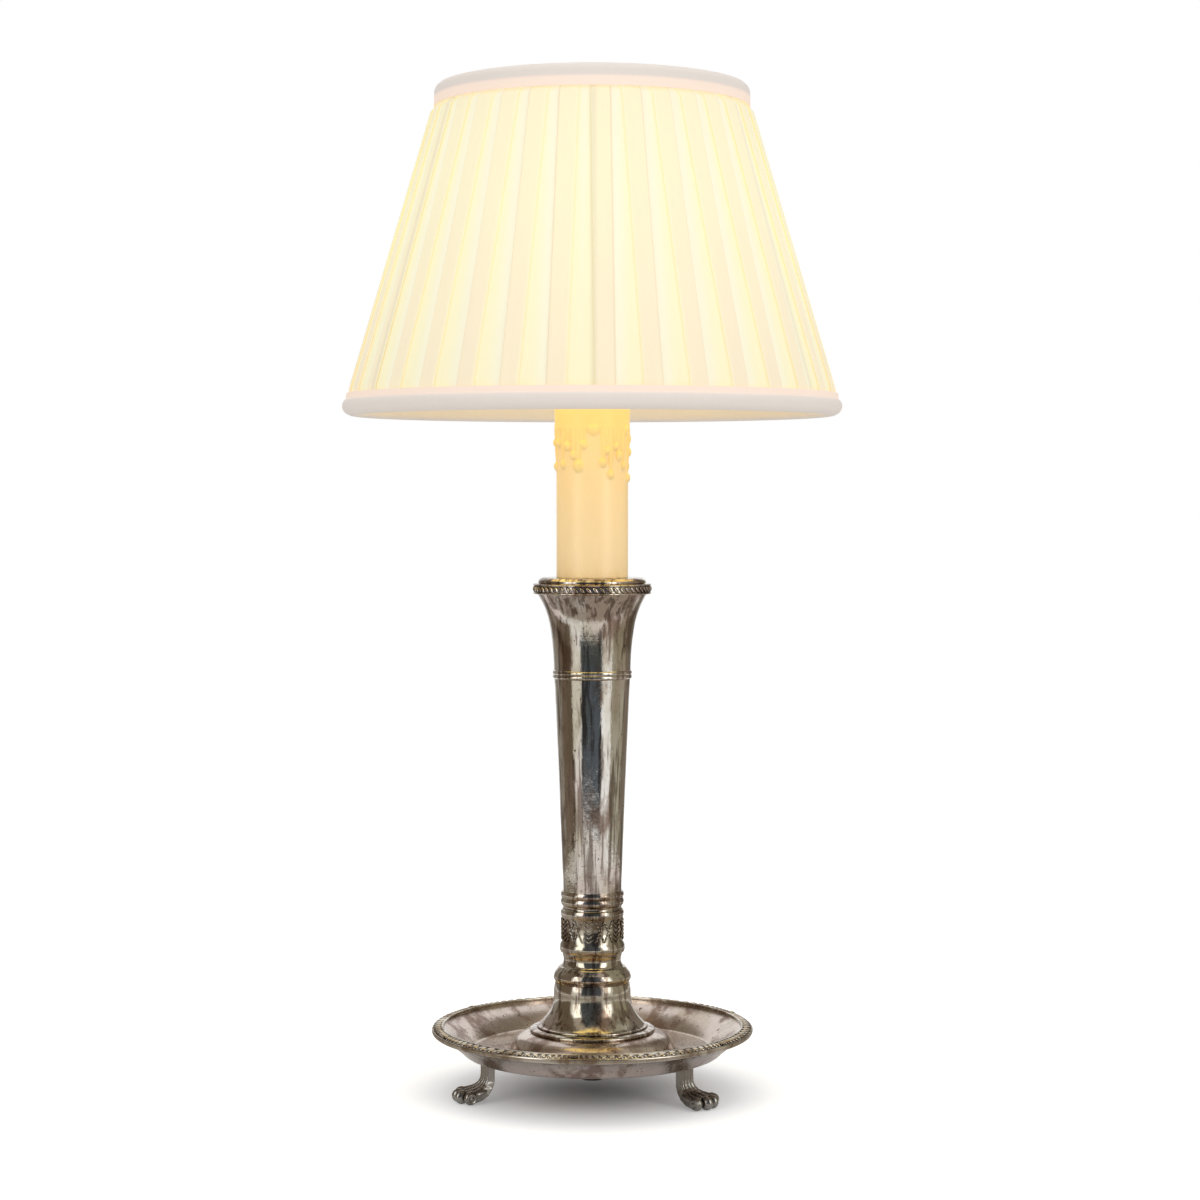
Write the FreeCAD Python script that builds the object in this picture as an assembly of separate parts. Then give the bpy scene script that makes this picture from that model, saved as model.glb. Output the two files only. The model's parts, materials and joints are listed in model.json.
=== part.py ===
import FreeCAD, Part
import math
import os

os.makedirs("parts", exist_ok=True)

# A candlestick lamp on a footed tray, in millimetres. +Z is up, the origin is on
# the floor under the column's axis, and the front is -Y.

# ---------------------------------------------------------------- driving dimensions
# directions round the axis, in degrees from +X
FOOT_ANGLES = {"left": 210.0, "right": 330.0, "back": 90.0}
CARRIER_ARM_ANGLES = (90.0, 210.0, 330.0)
SHADE_TURN = 277.0                    # one strut of the shade frame points here
SPIDER_TURN = 307.0                   # one arm of its spider points here

# paw feet
LEG_RADIUS = 56.3                     # axis of the lamp to the middle of a leg
LEG_THICKNESS = 4.2
LEG_WIDTH = 10.2
PAW_WIDTH = 16.8
PAW_HEIGHT = 5.8                      # at the instep, just behind the toes
PAW_EDGE = 1.5                        # bevel under the paw's sides
ANKLE_Z = 11.5                        # the leg widens into the paw below this
ANKLE_FLARE_Z = 5.6
TOE_TIP_RADIUS = 73.0
PAW_FRONT_RADIUS = 67.0               # the paw's own front, between the toes
PAW_FRONT_WIDTH = 9.0
PAW_NARROWS_RADIUS = 62.4             # the paw gets narrower from here to its front
TOE_RADIUS = 2.6
TOE_BALL_RADIUS = 3.3
TOE_Z = 3.7
TOE_LENGTH = 8.0
TOE_OFFSETS = (-5.1, -1.7, 1.7, 5.1)
OUTER_TOE_SETBACK = 4.5
LEG_FLUTE_RADIUS = 0.6
LEG_FLUTE_BOTTOM_Z = 8.0

# tray
TRAY_UNDER_Z = 19.4
TRAY_WALL = 1.8
TRAY_RIM_Z = 33.2
TRAY_EDGE_RADIUS = 78.6
TRAY_RIM_RADIUS = 80.6                # over the gadroon border
TRAY_RIM_INNER = 74.6
TRAY_SEAT = 0.8                       # the border ring sits this far below the rim's level
BOSS_TOP_Z = 30.8
BOSS_RADIUS = 31.8
WELL_RADII = (44.0, 59.0)

# central tube, M10
TUBE_OUTER = 5.0
TUBE_BORE = 4.0
TUBE_HOLE = 5.1
TUBE_BOTTOM_Z = 9.6
TUBE_TOP_Z = 336.0
HEX_FLATS = 14.0

# underneath
WEIGHT_RADIUS = 30.5
WEIGHT_BOTTOM_Z = 20.4
WASHER_RADIUS = 12.0
WASHER_THICKNESS = 1.6
BOTTOM_NUT_HEIGHT = 5.0
BUSH_RADIUS = 6.5
BUSH_BORE = 3.5
BUSH_BOTTOM_Z = 6.3
BUSH_TOP_Z = 12.2

# column, from the tray up: the levels where one piece meets the next
BELL_RING_TOP_Z = 33.0
BELL_TOP_Z = 55.5
KNOP_TOP_Z = 71.0
COLLAR_TOP_Z = 101.5
COLUMN_TOP_Z = 208.3
BAND_TOP_Z = 212.7
CUP_TOP_Z = 250.8
CUP_RIM_TOP_Z = 255.8
NOZZLE_TOP_Z = 258.8
SHEET = 1.1                           # wall of the spun silver-plated shells
BELL_RING_BORE = 18.0
BELL_WEB = 2.0
COLLAR_BORE = 13.4
BAND_BORE = 17.7
CUP_RIM_BORE = 25.0
CUP_RIM_SEAT = 28.9                   # outer radius of the cup rim's flat faces
CUP_RIM_RADIUS = 30.3
NOZZLE_RADIUS = 27.0
NOZZLE_SPIGOT_RADIUS = 16.2
NOZZLE_SPIGOT_HEIGHT = 2.7
NOZZLE_SPIGOT_WALL = 1.5
NOZZLE_STEP_RADII = (23.4, 24.8)      # underside recess, and the step inside the cup's rim
LOCKNUT_HEIGHT = 4.0

# candle sleeve
SLEEVE_RADIUS = 17.93
SLEEVE_BORE = 16.5
SLEEVE_TOP_Z = 374.0
WAX_COAT_RADIUS = 18.8
WAX_COAT_Z = 333.0
WAX_REACH = 19.3
WAX_RUN_SHARE = 0.86                  # a run's radius as a share of its end drop's
# each drip: direction, width, lowest point
WAX_DRIPS = (
    (278.7, 5.6, 330.1), (254.4, 6.0, 310.9), (293.4, 4.2, 313.3), (305.9, 4.2, 308.4),
    (323.4, 5.0, 317.3), (343.0, 5.6, 329.6), (351.5, 4.0, 306.4), (224.3, 4.0, 313.3),
    (199.0, 3.6, 314.5), (184.0, 3.8, 327.0), (10.0, 4.6, 320.5), (27.0, 5.2, 311.5),
    (46.0, 4.0, 328.0), (64.0, 5.4, 316.0), (85.0, 4.2, 307.5), (104.0, 5.8, 325.0),
    (124.0, 4.4, 312.0), (147.0, 5.0, 321.5), (166.0, 4.2, 309.5),
)

# lampholder, E14 with a 28 mm shade ring
HOLDER_BASE_RADIUS = 14.0
HOLDER_BASE_Z = (326.0, 350.0)
HOLDER_FLOOR_Z = 336.0
HOLDER_CAVITY = 11.5
HOLDER_BODY_RADIUS = 15.5
HOLDER_SHOULDER_Z = 375.3
HOLDER_NECK_RADIUS = 13.9
HOLDER_TOP_Z = 385.0
SHELL_BORE = 7.2
SHELL_OUTER = 7.65
SHELL_Z = (356.5, 383.5)
TERMINAL_OFFSET = 9.0
TERMINAL_TOP_Z = 345.5
TERMINAL_POST_RADIUS = 2.4
TERMINAL_HOLE_RADIUS = 1.5
TERMINAL_FLOOR = 1.5
CONTACT_STRIP = 0.5                   # thickness of the brass strip
CONTACT_WIDTH = 4.0
CONTACT_LAP = 2.2                     # strip beyond the screw's centre
CONTACT_HOLE_RADIUS = 1.6
CONTACT_TIP_GAP = 0.1                 # between the tongue and the bulb's contact
TONGUE_X = (-4.5, 3.0)
SHELL_STRIP_X = 6.6
SHELL_FLOOR_BORE = 5.8
SCREW_HEAD = (1.8, 1.6)               # radius and height of a terminal screw's head
SCREW_SHANK = (1.4, 7.0)
SCREW_SLOT = (0.6, 0.7)               # width and depth

# shade carrier
CARRIER_RING_Z = 375.4
CARRIER_RING_THICKNESS = 1.3
CARRIER_RING_RADII = (14.1, 19.5)
GALLERY_RADIUS = 38.0
GALLERY_Z = 468.0
CARRIER_WIRE = 1.25
CARRIER_BEND = 7.0
CARRIER_TAB = 5.0
RING_NUT_RADII = (14.0, 18.0)
RING_NUT_Z = (376.8, 381.3)

# bulb, 35 mm candle shape with an E14 cap
BULB_CONTACT_Z = 361.0
CAP_RADIUS = 6.95
CAP_Z = (365.0, 385.5)
CAP_WALL = 0.7
THREAD_PITCH = 2.82
THREAD_DEPTH = 0.6
CAP_EYE = 3.2                         # hole in the cap's floor for the insulator
INSULATOR_RADIUS = 3.1
PIP_RADII = (1.2, 2.4)
PIP_HEIGHTS = (0.8, 1.4)
COLLAR_OUTER = 8.8
GLASS_BOTTOM_Z = 389.0
GLASS_WIDE_Z = 419.0
GLASS_TOP_Z = 460.0
GLASS_RADIUS = 17.5
GLASS_WALL = 0.8
STEM_RADIUS = 5.0
FILAMENT_WIRE = 0.4
FILAMENT_HALF_WIDTH = 6.0
FILAMENT_RISE = 21.0
FILAMENT_FOOT = 15.0                  # above the bottom of the glass
LEAD_OFFSET = 2.6

# shade frame
FRAME_WIRE = 1.3
STRUT_WIRE = 1.2
STRUT_COUNT = 6
TOP_RING = (73.9, 499.2)
BOTTOM_RING = (118.6, 342.4)
SPIDER_RING_RADIUS = 38.0
SPIDER_WIRE = 1.5
SPIDER_GAP = 0.1
SPIDER_ARM_COUNT = 3
SPIDER_BEND = 12.0
STRUT_BEND = 6.0

# shade cloth: a pleated cover, a plain lining and two bound edges
PLEAT_COUNT = 34
PLEAT_BAND = 9.0                      # width of the folded band of each pleat
PLEAT_SIDE = 0.7                      # run of the step down from the band
PLEAT_DIRECTION = 279.5               # middle of one band
COVER_WALL = 0.7
# the cover's levels from the bottom: height, radius over the bands, depth of the pleats
COVER_LEVELS = (
    (340.2, 121.4, 0.5),
    (352.5, 121.2, 0.9),
    (488.8, 80.4, 0.9),
    (491.6, 77.2, 0.5),
    (500.2, 76.9, 0.4),
)
LINING_WALL = 0.5
LINING_BOTTOM = (117.0, 343.0)
LINING_TOP = (71.6, 496.5)
LINING_DRAW_IN = 2.5
TRIM_HOLE_CLEARANCE = 0.3

UP = FreeCAD.Vector(0, 0, 1)
ORIGIN = FreeCAD.Vector(0, 0, 0)


# ---------------------------------------------------------------- helpers
def at(radius, z, angle=0.0):
    """Point at a radius and height, in a direction round the axis."""
    turn = math.radians(angle)
    return FreeCAD.Vector(radius * math.cos(turn), radius * math.sin(turn), z)


def path_edges(points, angle=0.0):
    """Edges in the plane through the axis. A point is (r, z) for a line to it, or
    ((r, z), (r, z)) for an arc through the first to the second."""
    here = points[0]
    edges = []
    for step in points[1:]:
        if isinstance(step[0], tuple):
            via, there = step
            edges.append(Part.Arc(at(*here, angle), at(*via, angle), at(*there, angle)).toShape())
        else:
            there = step
            edges.append(Part.LineSegment(at(*here, angle), at(*there, angle)).toShape())
        here = there
    return edges


def closed_face(points):
    """Flat face in the plane y = 0 inside a closed outline."""
    return Part.Face(Part.Wire(path_edges(list(points) + [points[0]])))


def turned(*points):
    """Solid of revolution from a closed outline beside the axis."""
    return closed_face(points).revolve(ORIGIN, UP, 360)


def end_of(step):
    """Last point of a step of an outline."""
    return step[1] if isinstance(step[0], tuple) else step


def moved_in(point, wall):
    """The same point, nearer to the axis by the wall."""
    return (point[0] - wall, point[1])


def spun(wall, *points):
    """Sheet shell: the outer outline from bottom to top, with its wall inside it."""
    inner = [moved_in(end_of(points[-1]), wall)]
    for number in range(len(points) - 1, 0, -1):
        before = moved_in(end_of(points[number - 1]), wall)
        step = points[number]
        if isinstance(step[0], tuple):
            inner.append((moved_in(step[0], wall), before))
        else:
            inner.append(before)
    return turned(*points, *inner)


def tube(outer, bore, low, high):
    """Plain tube or washer on the axis."""
    return turned((bore, low), (outer, low), (outer, high), (bore, high))


def wire_ring(radius, z, wire):
    """Ring of round wire about the axis."""
    return Part.makeTorus(radius, wire, at(0, z), UP)


def bent(corners, bend):
    """Path through corners in (r, z), each rounded to the bend's radius."""
    path = [corners[0]]
    for before, corner, after in zip(corners, corners[1:], corners[2:]):
        back = FreeCAD.Vector(before[0] - corner[0], before[1] - corner[1], 0).normalize()
        ahead = FreeCAD.Vector(after[0] - corner[0], after[1] - corner[1], 0).normalize()
        half = back.getAngle(ahead) / 2
        run = bend / math.tan(half)
        inward = (back + ahead).normalize() * (bend / math.sin(half) - bend)
        path.append((corner[0] + back.x * run, corner[1] + back.y * run))
        path.append(((corner[0] + inward.x, corner[1] + inward.y),
                     (corner[0] + ahead.x * run, corner[1] + ahead.y * run)))
    path.append(corners[-1])
    return path


def wire_along(points, wire, angle):
    """Round wire along lines and arcs in one plane through the axis."""
    spine = Part.Wire(path_edges(points, angle))
    start = spine.Edges[0].valueAt(spine.Edges[0].FirstParameter)
    heading = spine.Edges[0].tangentAt(spine.Edges[0].FirstParameter)
    section = Part.Wire(Part.Circle(start, heading, wire).toShape())
    return spine.makePipeShell([section], True, True)


def hex_nut(flats, bore, low, high):
    """Hexagon nut on the axis."""
    corner = flats / 2 / math.cos(math.radians(30))
    corners = [at(corner, low, 60 * number) for number in range(7)]
    body = Part.Face(Part.makePolygon(corners)).extrude(UP * (high - low))
    return body.cut(Part.makeCylinder(bore, high - low, at(0, low)))


def turned_to(shape, angle):
    """Copy of a shape, turned about the lamp's axis."""
    copy = shape.copy()
    copy.rotate(ORIGIN, UP, angle)
    return copy


def group(shapes):
    """Several separate solids in one node."""
    return Part.makeCompound(shapes)


def save(name, shape):
    """Write a node, and say what it holds."""
    solids = shape.Solids
    sound = shape.isValid() and all(solid.isClosed() and solid.Volume > 0 for solid in solids)
    print(f"{name}: {len(solids)} solid, {shape.Volume:.1f} mm3, {'sound' if sound else 'NOT SOUND'}")
    shape.exportStep(f"parts/{name}.step")


# ---------------------------------------------------------------- paw feet
def paw_foot():
    """One foot, pointing along +X: a flat leg that swells into a paw with four toes."""
    back = LEG_RADIUS - LEG_THICKNESS / 2
    front = LEG_RADIUS + LEG_THICKNESS / 2
    side = closed_face([
        (back, TRAY_UNDER_Z),
        (back - 0.3, 12.0),
        ((back - 0.5, 6.6), (back + 1.6, 2.4)),
        ((back + 3.0, 0.7), (back + 5.4, 0.0)),
        (PAW_FRONT_RADIUS, 0.0),
        (PAW_FRONT_RADIUS, PAW_HEIGHT - 1.2),
        ((PAW_FRONT_RADIUS - 1.4, PAW_HEIGHT - 0.2), (PAW_FRONT_RADIUS - 3.6, PAW_HEIGHT)),
        ((front + 1.5, 8.2), (front - 0.2, 13.0)),
        (front, TRAY_UNDER_Z),
    ])
    slab = side.extrude(FreeCAD.Vector(0, PAW_WIDTH, 0))
    slab.translate(FreeCAD.Vector(0, -PAW_WIDTH / 2, 0))
    leg, paw = LEG_WIDTH / 2, PAW_WIDTH / 2
    front_view = closed_face([
        (-leg, TRAY_UNDER_Z),
        (-leg, ANKLE_Z),
        ((-leg - 1.0, 8.2), (-paw, ANKLE_FLARE_Z)),
        (-paw, PAW_EDGE),
        (-paw + PAW_EDGE, 0.0),
        (paw - PAW_EDGE, 0.0),
        (paw, PAW_EDGE),
        (paw, ANKLE_FLARE_Z),
        ((leg + 1.0, 8.2), (leg, ANKLE_Z)),
        (leg, TRAY_UNDER_Z),
    ])
    blade = front_view.extrude(FreeCAD.Vector(0, 40, 0))
    blade.rotate(ORIGIN, UP, 90)
    blade.translate(FreeCAD.Vector(TOE_TIP_RADIUS + 10, 0, 0))
    plan = Part.Face(Part.makePolygon([
        FreeCAD.Vector(LEG_RADIUS - 20, -paw, 0),
        FreeCAD.Vector(PAW_NARROWS_RADIUS, -paw, 0),
        FreeCAD.Vector(PAW_FRONT_RADIUS, -PAW_FRONT_WIDTH / 2, 0),
        FreeCAD.Vector(PAW_FRONT_RADIUS, PAW_FRONT_WIDTH / 2, 0),
        FreeCAD.Vector(PAW_NARROWS_RADIUS, paw, 0),
        FreeCAD.Vector(LEG_RADIUS - 20, paw, 0),
        FreeCAD.Vector(LEG_RADIUS - 20, -paw, 0),
    ]))
    foot = slab.common(blade).common(plan.extrude(UP * TRAY_UNDER_Z))
    for offset in TOE_OFFSETS:
        tip = TOE_TIP_RADIUS - (OUTER_TOE_SETBACK if abs(offset) > TOE_RADIUS else 0.0)
        ball_centre = FreeCAD.Vector(tip - TOE_BALL_RADIUS, offset, TOE_Z)
        start = FreeCAD.Vector(tip - TOE_LENGTH, offset, TOE_Z - 0.5)
        toe = Part.makeCylinder(TOE_RADIUS, TOE_LENGTH - TOE_BALL_RADIUS, start, FreeCAD.Vector(1, 0, 0))
        ball = Part.makeSphere(TOE_BALL_RADIUS, ball_centre)
        foot = foot.fuse(toe).fuse(ball)
    floor = Part.makeBox(60, 60, 10, FreeCAD.Vector(40, -30, -10))
    foot = foot.cut(floor)
    for offset in (-LEG_WIDTH / 4, 0.0, LEG_WIDTH / 4):
        flute_foot = FreeCAD.Vector(front + 0.25, offset, LEG_FLUTE_BOTTOM_Z)
        flute = Part.makeCylinder(LEG_FLUTE_RADIUS, TRAY_UNDER_Z, flute_foot, UP)
        foot = foot.cut(flute)
    return foot.removeSplitter()


# ---------------------------------------------------------------- tray and underside
def tray():
    """Spun tray: a boss under the column, a flat well and a sloping wall."""
    well_z = TRAY_UNDER_Z + TRAY_WALL
    boss_under = BOSS_TOP_Z - TRAY_WALL
    inner, outer = WELL_RADII
    return turned(
        (TUBE_HOLE, boss_under),
        (BOSS_RADIUS - 0.6, boss_under),
        (BOSS_RADIUS + 3.4, boss_under - 1.8),
        ((BOSS_RADIUS + 5.6, boss_under - 4.4), (BOSS_RADIUS + 7.5, TRAY_UNDER_Z + 2.2)),
        ((BOSS_RADIUS + 8.9, TRAY_UNDER_Z + 0.7), (inner - 1.0, TRAY_UNDER_Z)),
        (outer + 1.6, TRAY_UNDER_Z),
        ((outer + 3.8, TRAY_UNDER_Z + 0.7), (outer + 5.4, TRAY_UNDER_Z + 2.2)),
        (TRAY_EDGE_RADIUS - 2.4, TRAY_RIM_Z - TRAY_WALL),
        (TRAY_EDGE_RADIUS, TRAY_RIM_Z - TRAY_WALL),
        (TRAY_EDGE_RADIUS, TRAY_RIM_Z - TRAY_SEAT),
        (TRAY_RIM_INNER, TRAY_RIM_Z - TRAY_SEAT),
        (outer + 2.4, well_z + 1.2),
        ((outer + 1.3, well_z + 0.3), (outer, well_z)),
        (inner, well_z),
        ((BOSS_RADIUS + 9.9, well_z + 0.9), (BOSS_RADIUS + 8.6, well_z + 2.6)),
        ((BOSS_RADIUS + 6.9, BOSS_TOP_Z - 3.8), (BOSS_RADIUS + 4.6, BOSS_TOP_Z - 1.9)),
        (BOSS_RADIUS, BOSS_TOP_Z),
        (TUBE_HOLE, BOSS_TOP_Z),
    )


def tray_rim():
    """Border ring on the tray's edge, half round in section."""
    low = TRAY_RIM_Z - TRAY_WALL - 0.9
    seat = TRAY_RIM_Z - TRAY_SEAT
    return turned(
        (TRAY_RIM_INNER, seat),
        (TRAY_EDGE_RADIUS, seat),
        (TRAY_EDGE_RADIUS, low),
        ((TRAY_RIM_RADIUS, low + 0.9), (TRAY_RIM_RADIUS, low + 1.8)),
        ((TRAY_RIM_RADIUS - 1.3, TRAY_RIM_Z + 0.7), (TRAY_RIM_INNER + 2.2, TRAY_RIM_Z + 0.9)),
        ((TRAY_RIM_INNER + 0.6, TRAY_RIM_Z + 0.6), (TRAY_RIM_INNER, TRAY_RIM_Z)),
    )


def cord_bush():
    """Collar on the tube's lower end that guides the cord out."""
    return turned(
        (BUSH_BORE, BUSH_BOTTOM_Z),
        (BUSH_RADIUS - 0.8, BUSH_BOTTOM_Z),
        (BUSH_RADIUS, BUSH_BOTTOM_Z + 0.8),
        (BUSH_RADIUS, BUSH_TOP_Z),
        (TUBE_OUTER, BUSH_TOP_Z),
        (TUBE_OUTER, TUBE_BOTTOM_Z),
        (BUSH_BORE, TUBE_BOTTOM_Z),
    )


def make_base():
    """Feet, tray and everything that the central tube clamps under it."""
    foot = paw_foot()
    for side, angle in FOOT_ANGLES.items():
        save(f"paw_foot_{side}", turned_to(foot, angle))
    save("tray", tray())
    save("tray_rim_gadroon", tray_rim())
    save("base_weight", tube(WEIGHT_RADIUS, TUBE_HOLE, WEIGHT_BOTTOM_Z, BOSS_TOP_Z - TRAY_WALL))
    washer_z = WEIGHT_BOTTOM_Z - WASHER_THICKNESS
    save("bottom_washer", tube(WASHER_RADIUS, TUBE_HOLE, washer_z, WEIGHT_BOTTOM_Z))
    save("bottom_nut", hex_nut(HEX_FLATS, TUBE_OUTER, washer_z - BOTTOM_NUT_HEIGHT, washer_z))
    save("cord_bush", cord_bush())
    save("central_tube", tube(TUBE_OUTER, TUBE_BORE, TUBE_BOTTOM_Z, TUBE_TOP_Z))


# ---------------------------------------------------------------- column
def bell_foot_ring():
    """Stepped ring between the tray's boss and the bell."""
    return turned(
        (BELL_RING_BORE, BOSS_TOP_Z),
        (31.0, BOSS_TOP_Z),
        ((31.6, BOSS_TOP_Z + 0.7), (31.0, BOSS_TOP_Z + 1.5)),
        ((29.6, BELL_RING_TOP_Z - 0.2), (28.4, BELL_RING_TOP_Z)),
        (BELL_RING_BORE, BELL_RING_TOP_Z),
    )


def bell_foot():
    """Bell that flares from the knop down to the tray, with a web round the tube."""
    under_web = BELL_TOP_Z - BELL_WEB
    return turned(
        (26.3, BELL_RING_TOP_Z),
        (27.6, BELL_RING_TOP_Z),
        ((27.9, BELL_RING_TOP_Z + 0.5), (27.3, BELL_RING_TOP_Z + 1.0)),
        ((23.4, 38.1), (20.8, 41.9)),
        ((19.6, 46.2), (19.3, 50.0)),
        ((19.1, 53.2), (18.7, BELL_TOP_Z)),
        (TUBE_HOLE, BELL_TOP_Z),
        (TUBE_HOLE, under_web),
        (17.7, under_web),
        ((18.0, 52.0), (18.2, 50.0)),
        ((18.6, 46.0), (19.7, 41.4)),
        ((22.2, 37.4), (26.3, BELL_RING_TOP_Z + 0.9)),
    )


def neck_knop():
    """Turned knop: a torus, a cavetto and a narrow neck."""
    return turned(
        (TUBE_HOLE, BELL_TOP_Z),
        (18.4, BELL_TOP_Z),
        ((18.7, 56.3), (19.1, 57.0)),
        ((19.5, 58.4), (19.1, 59.8)),
        (18.9, 60.6),
        ((17.6, 62.2), (16.7, 63.4)),
        ((15.1, 64.6), (14.5, 66.4)),
        ((14.4, 67.6), (14.7, 68.9)),
        (15.1, KNOP_TOP_Z),
        (TUBE_HOLE, KNOP_TOP_Z),
    )


def column_collar():
    """Collar at the column's foot: a plain band between round rings."""
    return turned(
        (COLLAR_BORE, KNOP_TOP_Z),
        (15.9, KNOP_TOP_Z),
        ((16.4, 73.2), (15.9, 75.6)),
        (15.5, 76.4),
        (15.6, 88.4),
        ((15.9, 90.4), (15.6, 92.2)),
        ((14.7, 93.5), (15.4, 94.8)),
        ((15.9, 96.4), (15.5, 98.0)),
        (15.3, 98.3),
        (15.5, 98.6),
        ((15.9, 100.1), (15.4, COLLAR_TOP_Z)),
        (COLLAR_BORE, COLLAR_TOP_Z),
    )


def column_shell():
    """Tapered tube of the column."""
    return spun(
        SHEET,
        (14.7, COLLAR_TOP_Z),
        ((14.75, 106.0), (15.0, 112.0)),
        ((17.05, 165.0), (18.7, 203.0)),
        (19.0, COLUMN_TOP_Z),
    )


def cup_band():
    """Double bead between the column and the cup."""
    return turned(
        (BAND_BORE, COLUMN_TOP_Z),
        (19.2, COLUMN_TOP_Z),
        ((19.9, COLUMN_TOP_Z + 1.1), (19.5, COLUMN_TOP_Z + 2.2)),
        ((19.9, COLUMN_TOP_Z + 3.3), (19.3, BAND_TOP_Z)),
        (BAND_BORE, BAND_TOP_Z),
    )


def cup_shell():
    """Flared cup on top of the column."""
    return spun(
        SHEET,
        (19.2, BAND_TOP_Z),
        ((19.85, 225.0), (21.4, 236.0)),
        ((23.6, 243.4), (27.4, CUP_TOP_Z)),
    )


def cup_rim():
    """Border ring round the cup's mouth, half round in section."""
    return turned(
        (CUP_RIM_BORE, CUP_TOP_Z),
        (CUP_RIM_SEAT, CUP_TOP_Z),
        ((CUP_RIM_RADIUS, (CUP_TOP_Z + CUP_RIM_TOP_Z) / 2), (CUP_RIM_SEAT, CUP_RIM_TOP_Z)),
        (CUP_RIM_BORE, CUP_RIM_TOP_Z),
    )


def nozzle_disc():
    """Disc that closes the cup, with a spigot for the candle sleeve."""
    recess, step = NOZZLE_STEP_RADII
    spigot_bore = NOZZLE_SPIGOT_RADIUS - NOZZLE_SPIGOT_WALL
    return turned(
        (TUBE_HOLE, CUP_RIM_TOP_Z + 0.4),
        (recess, CUP_RIM_TOP_Z + 0.4),
        (recess, CUP_TOP_Z),
        (step, CUP_TOP_Z),
        (step, CUP_RIM_TOP_Z),
        (NOZZLE_RADIUS - 0.4, CUP_RIM_TOP_Z),
        ((NOZZLE_RADIUS, 257.0), (26.4, 257.9)),
        ((25.4, 258.6), (23.8, NOZZLE_TOP_Z)),
        (NOZZLE_SPIGOT_RADIUS, NOZZLE_TOP_Z),
        (NOZZLE_SPIGOT_RADIUS, NOZZLE_TOP_Z + NOZZLE_SPIGOT_HEIGHT),
        (spigot_bore, NOZZLE_TOP_Z + NOZZLE_SPIGOT_HEIGHT),
        (spigot_bore, NOZZLE_TOP_Z),
        (TUBE_HOLE, NOZZLE_TOP_Z),
    )


def make_column():
    """The silver-plated pieces that stand on the tray, one on the other."""
    save("bell_foot_ring", bell_foot_ring())
    save("bell_foot", bell_foot())
    save("neck_knop", neck_knop())
    save("column_foot_collar", column_collar())
    save("column_shell", column_shell())
    save("cup_band", cup_band())
    save("cup_shell", cup_shell())
    save("cup_rim_gadroon", cup_rim())
    save("nozzle_disc", nozzle_disc())
    save("nozzle_locknut", hex_nut(HEX_FLATS, TUBE_OUTER, NOZZLE_TOP_Z, NOZZLE_TOP_Z + LOCKNUT_HEIGHT))


# ---------------------------------------------------------------- candle sleeve
def candle_sleeve():
    """Tube like a candle, with a coat of wax and drips near the top."""
    sleeve = turned(
        (SLEEVE_BORE - 1.0, NOZZLE_TOP_Z),
        (SLEEVE_RADIUS, NOZZLE_TOP_Z),
        (SLEEVE_RADIUS, WAX_COAT_Z),
        ((WAX_COAT_RADIUS - 0.1, WAX_COAT_Z + 0.9), (WAX_COAT_RADIUS, WAX_COAT_Z + 2.6)),
        (WAX_COAT_RADIUS, SLEEVE_TOP_Z - 1.0),
        (WAX_COAT_RADIUS - 1.0, SLEEVE_TOP_Z),
        (SLEEVE_BORE - 1.0, SLEEVE_TOP_Z),
    )
    for angle, width, low in WAX_DRIPS:
        radius = width / 2
        centre = at(WAX_REACH - radius, low + radius, angle)
        run = Part.makeCylinder(radius * WAX_RUN_SHARE, WAX_COAT_Z + 3.0 - centre.z, centre, UP)
        sleeve = sleeve.fuse(run).fuse(Part.makeSphere(radius, centre))
    height = SLEEVE_TOP_Z - NOZZLE_TOP_Z
    return sleeve.cut(Part.makeCylinder(SLEEVE_BORE, height, at(0, NOZZLE_TOP_Z)))


# ---------------------------------------------------------------- lampholder
def holder_base():
    """Lower half of the lampholder, screwed on the tube, with two terminal posts."""
    low, high = HOLDER_BASE_Z
    cup = turned(
        (TUBE_OUTER, low),
        (8.0, low),
        (8.0, low + 4.0),
        (HOLDER_BASE_RADIUS, low + 7.0),
        (HOLDER_BASE_RADIUS, high),
        (HOLDER_CAVITY, high),
        (HOLDER_CAVITY, HOLDER_FLOOR_Z),
        (TUBE_OUTER, HOLDER_FLOOR_Z),
    )
    post_height = TERMINAL_TOP_Z - HOLDER_FLOOR_Z
    hole_depth = post_height - TERMINAL_FLOOR
    for side in (-1, 1):
        foot = FreeCAD.Vector(side * TERMINAL_OFFSET, 0, HOLDER_FLOOR_Z)
        cup = cup.fuse(Part.makeCylinder(TERMINAL_POST_RADIUS, post_height, foot, UP))
        cup = cup.cut(Part.makeCylinder(TERMINAL_HOLE_RADIUS, hole_depth, foot + UP * TERMINAL_FLOOR, UP))
    return cup


def holder_body():
    """Upper half of the lampholder, with the shoulder and neck for the shade ring."""
    low = HOLDER_BASE_Z[1]
    return turned(
        (HOLDER_CAVITY, low),
        (HOLDER_BODY_RADIUS, low),
        (HOLDER_BODY_RADIUS, HOLDER_SHOULDER_Z),
        (HOLDER_NECK_RADIUS, HOLDER_SHOULDER_Z),
        (HOLDER_NECK_RADIUS, HOLDER_TOP_Z - 0.8),
        (HOLDER_NECK_RADIUS - 0.8, HOLDER_TOP_Z),
        (SHELL_OUTER, HOLDER_TOP_Z),
        (SHELL_OUTER, SHELL_Z[0]),
        (HOLDER_CAVITY, SHELL_Z[0] - 2.0),
    )


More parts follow.
